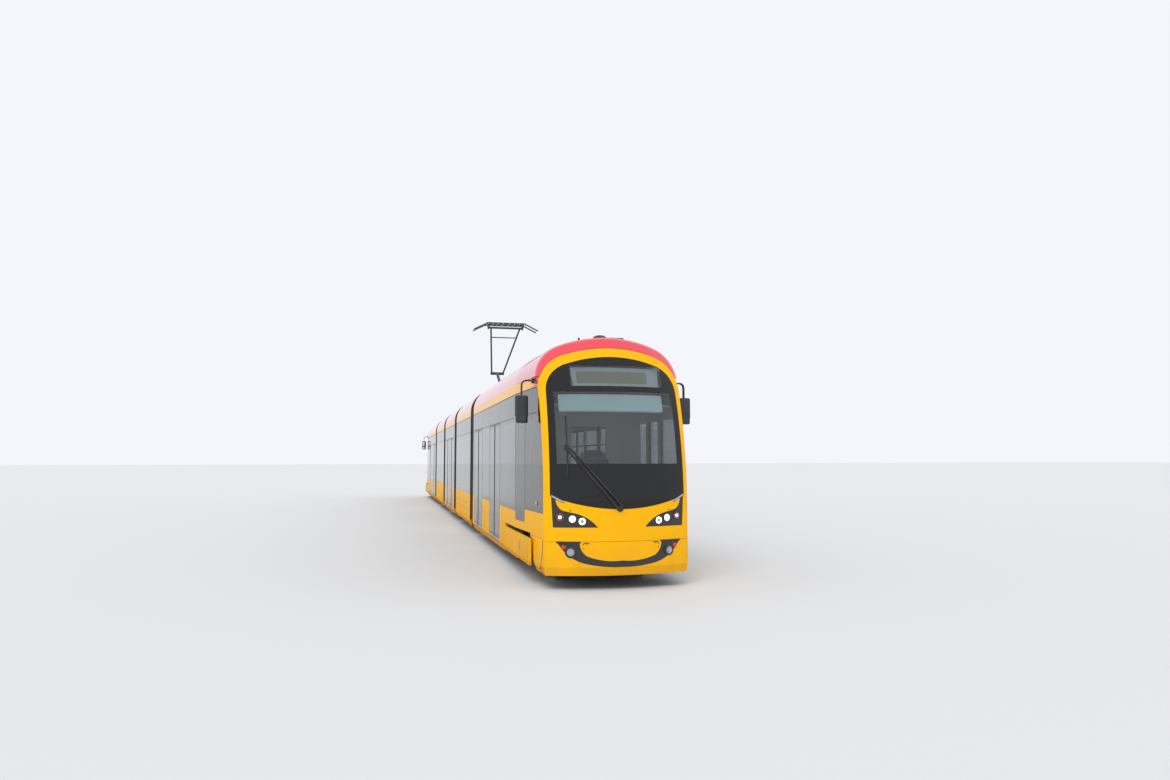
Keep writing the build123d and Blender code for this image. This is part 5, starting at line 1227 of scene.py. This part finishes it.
for places, cases in ROOF_CASES:
    grilles, blades, fixings = (bmesh.new() for _ in range(3))
    for start, end, half, high in cases:
        top = ROOF_DECK + high
        for share in (0.25, 0.75):
            hub = at(0, start + share * (end - start), top)
            for radius in FAN_RINGS:
                turn(grilles, [(-0.002, radius - 0.004), (0.005, radius - 0.003), (0.005, radius + 0.003),
                               (-0.002, radius + 0.004)], hub, UP, steps=36, hollow=True)
            for spoke in range(4):
                angle = math.tau * (spoke + 0.5) / 8
                reach = Vector((math.cos(angle), math.sin(angle), 0)) * FAN_RADIUS
                pipe(grilles, [hub - reach, hub + reach], 0.0035, steps=6)
            for blade in range(FAN_BLADES):
                angle = math.tau * blade / FAN_BLADES
                loft(blades, [[hub + Vector((radius * math.cos(angle + twist), radius * math.sin(angle + twist),
                                             0.05 * twist - 0.036)) for twist in BLADE_TWIST]
                              for radius in BLADE_RADII])
        for x in (-half + 0.05, half - 0.05):
            bolt_count = round((end - start) / BOLTS_APART)
            for step in range(bolt_count + 1):
                setback = start + 0.06 + (end - start - 0.12) * step / bolt_count
                turn(fixings, CASE_BOLT, at(x, setback, top), UP, steps=6)
        for low, far in ((start + 0.02, start + 0.045), (end - 0.045, end - 0.02)):
            block(fixings, at(-half + 0.10, low, top - 0.002), at(half - 0.10, far, top + 0.012), edge=0.004)
    for before, after in zip(cases, cases[1:]):
        for x in PIPES_ACROSS:
            pipe(fixings, [at(x, before[1] - 0.01, ROOF_DECK + 0.22), at(x, after[0] + 0.01, ROOF_DECK + 0.22)],
                 0.022, steps=12)
    made("fan_grilles", grilles, steel, places)
    made("fan_blades", blades, rubber, places)
    made("case_fixings", fixings, case_paint, places)

# Aerials: a low dome, a flat case and a stub on the crown, just behind its highest line.
# They are black plastic on rubber feet, bolted through the roof.
AERIAL_Z = 3.690
DOME = [(-0.060, 0.135), (0.010, 0.135), (0.020, 0.120), (0.060, 0.112), (0.085, 0.080), (0.095, 0.040),
        (0.096, 0.0)]
STUB = [(-0.060, 0.034), (0.006, 0.034), (0.012, 0.018), (0.062, 0.015), (0.066, 0.0)]
aerials = bmesh.new()
turn(aerials, DOME, at(0.040, 1.400, AERIAL_Z), UP, steps=36)
block(aerials, at(0.150, 1.330, AERIAL_Z - 0.060), at(0.420, 1.560, AERIAL_Z + 0.058), edge=0.016, cuts=3)
turn(aerials, STUB, at(-0.300, 1.420, AERIAL_Z - 0.012), UP, steps=20)
made("aerials", aerials, plastic, AT_ENDS)

# Pantograph: steel tubes on four ribbed insulators, with a carbon strip bolted on each contact bar.
# Two springs in tension raise it, and an electric drive on the frame pulls it down.
PAN_GREY = (0.05, 0.052, 0.056, 1)
pan_paint = worked_finish("pan_paint", PAN_GREY, BOGIE_GREY, polish=0.45)
for node in ("pantograph_lower_arm", "pantograph_upper_arm", "pantograph_head"):
    dress(node, pan_paint)
INSULATORS = ((0.420, 11.710), (0.420, 13.390))
CASE_TOP = 3.380
SHEDS = 4
HEAD_S = 11.900
HEAD_Z = 5.610
STRIP_APART = 0.170
STRIP_HALF = 0.555
FRAME_TOP = 3.630
SPRING_ACROSS = 0.130
SPRING_UP = 3.672
COIL_RADIUS = 0.024
COILS = 14
COIL_STEPS = 12
HOOKS = (((12.345, 3.655), (12.425, SPRING_UP)), ((13.345, SPRING_UP), (13.415, 3.640)))
AT_HEAD = (("", "pantograph_head", Matrix()),)
insulator_finish = worked_finish("insulator", (0.20, 0.045, 0.035, 1), (0.15, 0.040, 0.032, 1), polish=0.3,
                                 grain_depth=0.02, Coat_Weight=0.4)
carbon = worked_finish("carbon", (0.022, 0.022, 0.024, 1), (0.060, 0.058, 0.055, 1), polish=0.5,
                       grain_depth=0.2)
sheds, drive, strips, clamps = (bmesh.new() for _ in range(4))
for side in (-1, 1):
    for x, setback in INSULATORS:
        foot = at(side * x, setback, CASE_TOP)
        for step in range(SHEDS):
            low = 0.020 + 0.038 * step
            shed = [(low, 0.054), (low + 0.004, 0.078), (low + 0.012, 0.078), (low + 0.022, 0.054)]
            turn(sheds, shed, foot, UP, steps=28)
        turn(drive, [(0.0, 0.075), (0.012, 0.075), (0.016, 0.060)], foot, UP, steps=6)
    coil = []
    for step in range(COILS * COIL_STEPS + 1):
        angle = math.tau * step / COIL_STEPS
        coil.append(at(side * SPRING_ACROSS + COIL_RADIUS * math.cos(angle),
                       12.420 + 0.930 * step / (COILS * COIL_STEPS), SPRING_UP + COIL_RADIUS * math.sin(angle)))
    pipe(drive, coil, 0.0055, steps=6)
    for hook in HOOKS:
        pipe(drive, [at(side * SPRING_ACROSS, setback, up) for setback, up in hook], 0.008)
block(drive, at(-0.110, 11.660, FRAME_TOP - 0.01), at(0.110, 11.880, FRAME_TOP + 0.085), edge=0.015, cuts=3)
made("insulator_sheds", sheds, insulator_finish, AT_INNER[:1])
made("pantograph_drive", drive, pan_paint, AT_INNER[:1])
for row in (HEAD_S - STRIP_APART, HEAD_S + STRIP_APART):
    block(strips, at(-STRIP_HALF, row - 0.017, HEAD_Z + 0.012), at(STRIP_HALF, row + 0.017, HEAD_Z + 0.036),
          edge=0.005, cuts=3)
    for side in (-1, 1):
        for step in range(4):
            x = side * (0.09 + 0.14 * step)
            block(clamps, at(x - 0.016, row - 0.025, HEAD_Z - 0.020), at(x + 0.016, row + 0.025, HEAD_Z + 0.018),
                  edge=0.003)
made("contact_strips", strips, carbon, AT_HEAD)
made("strip_clamps", clamps, steel, AT_HEAD)
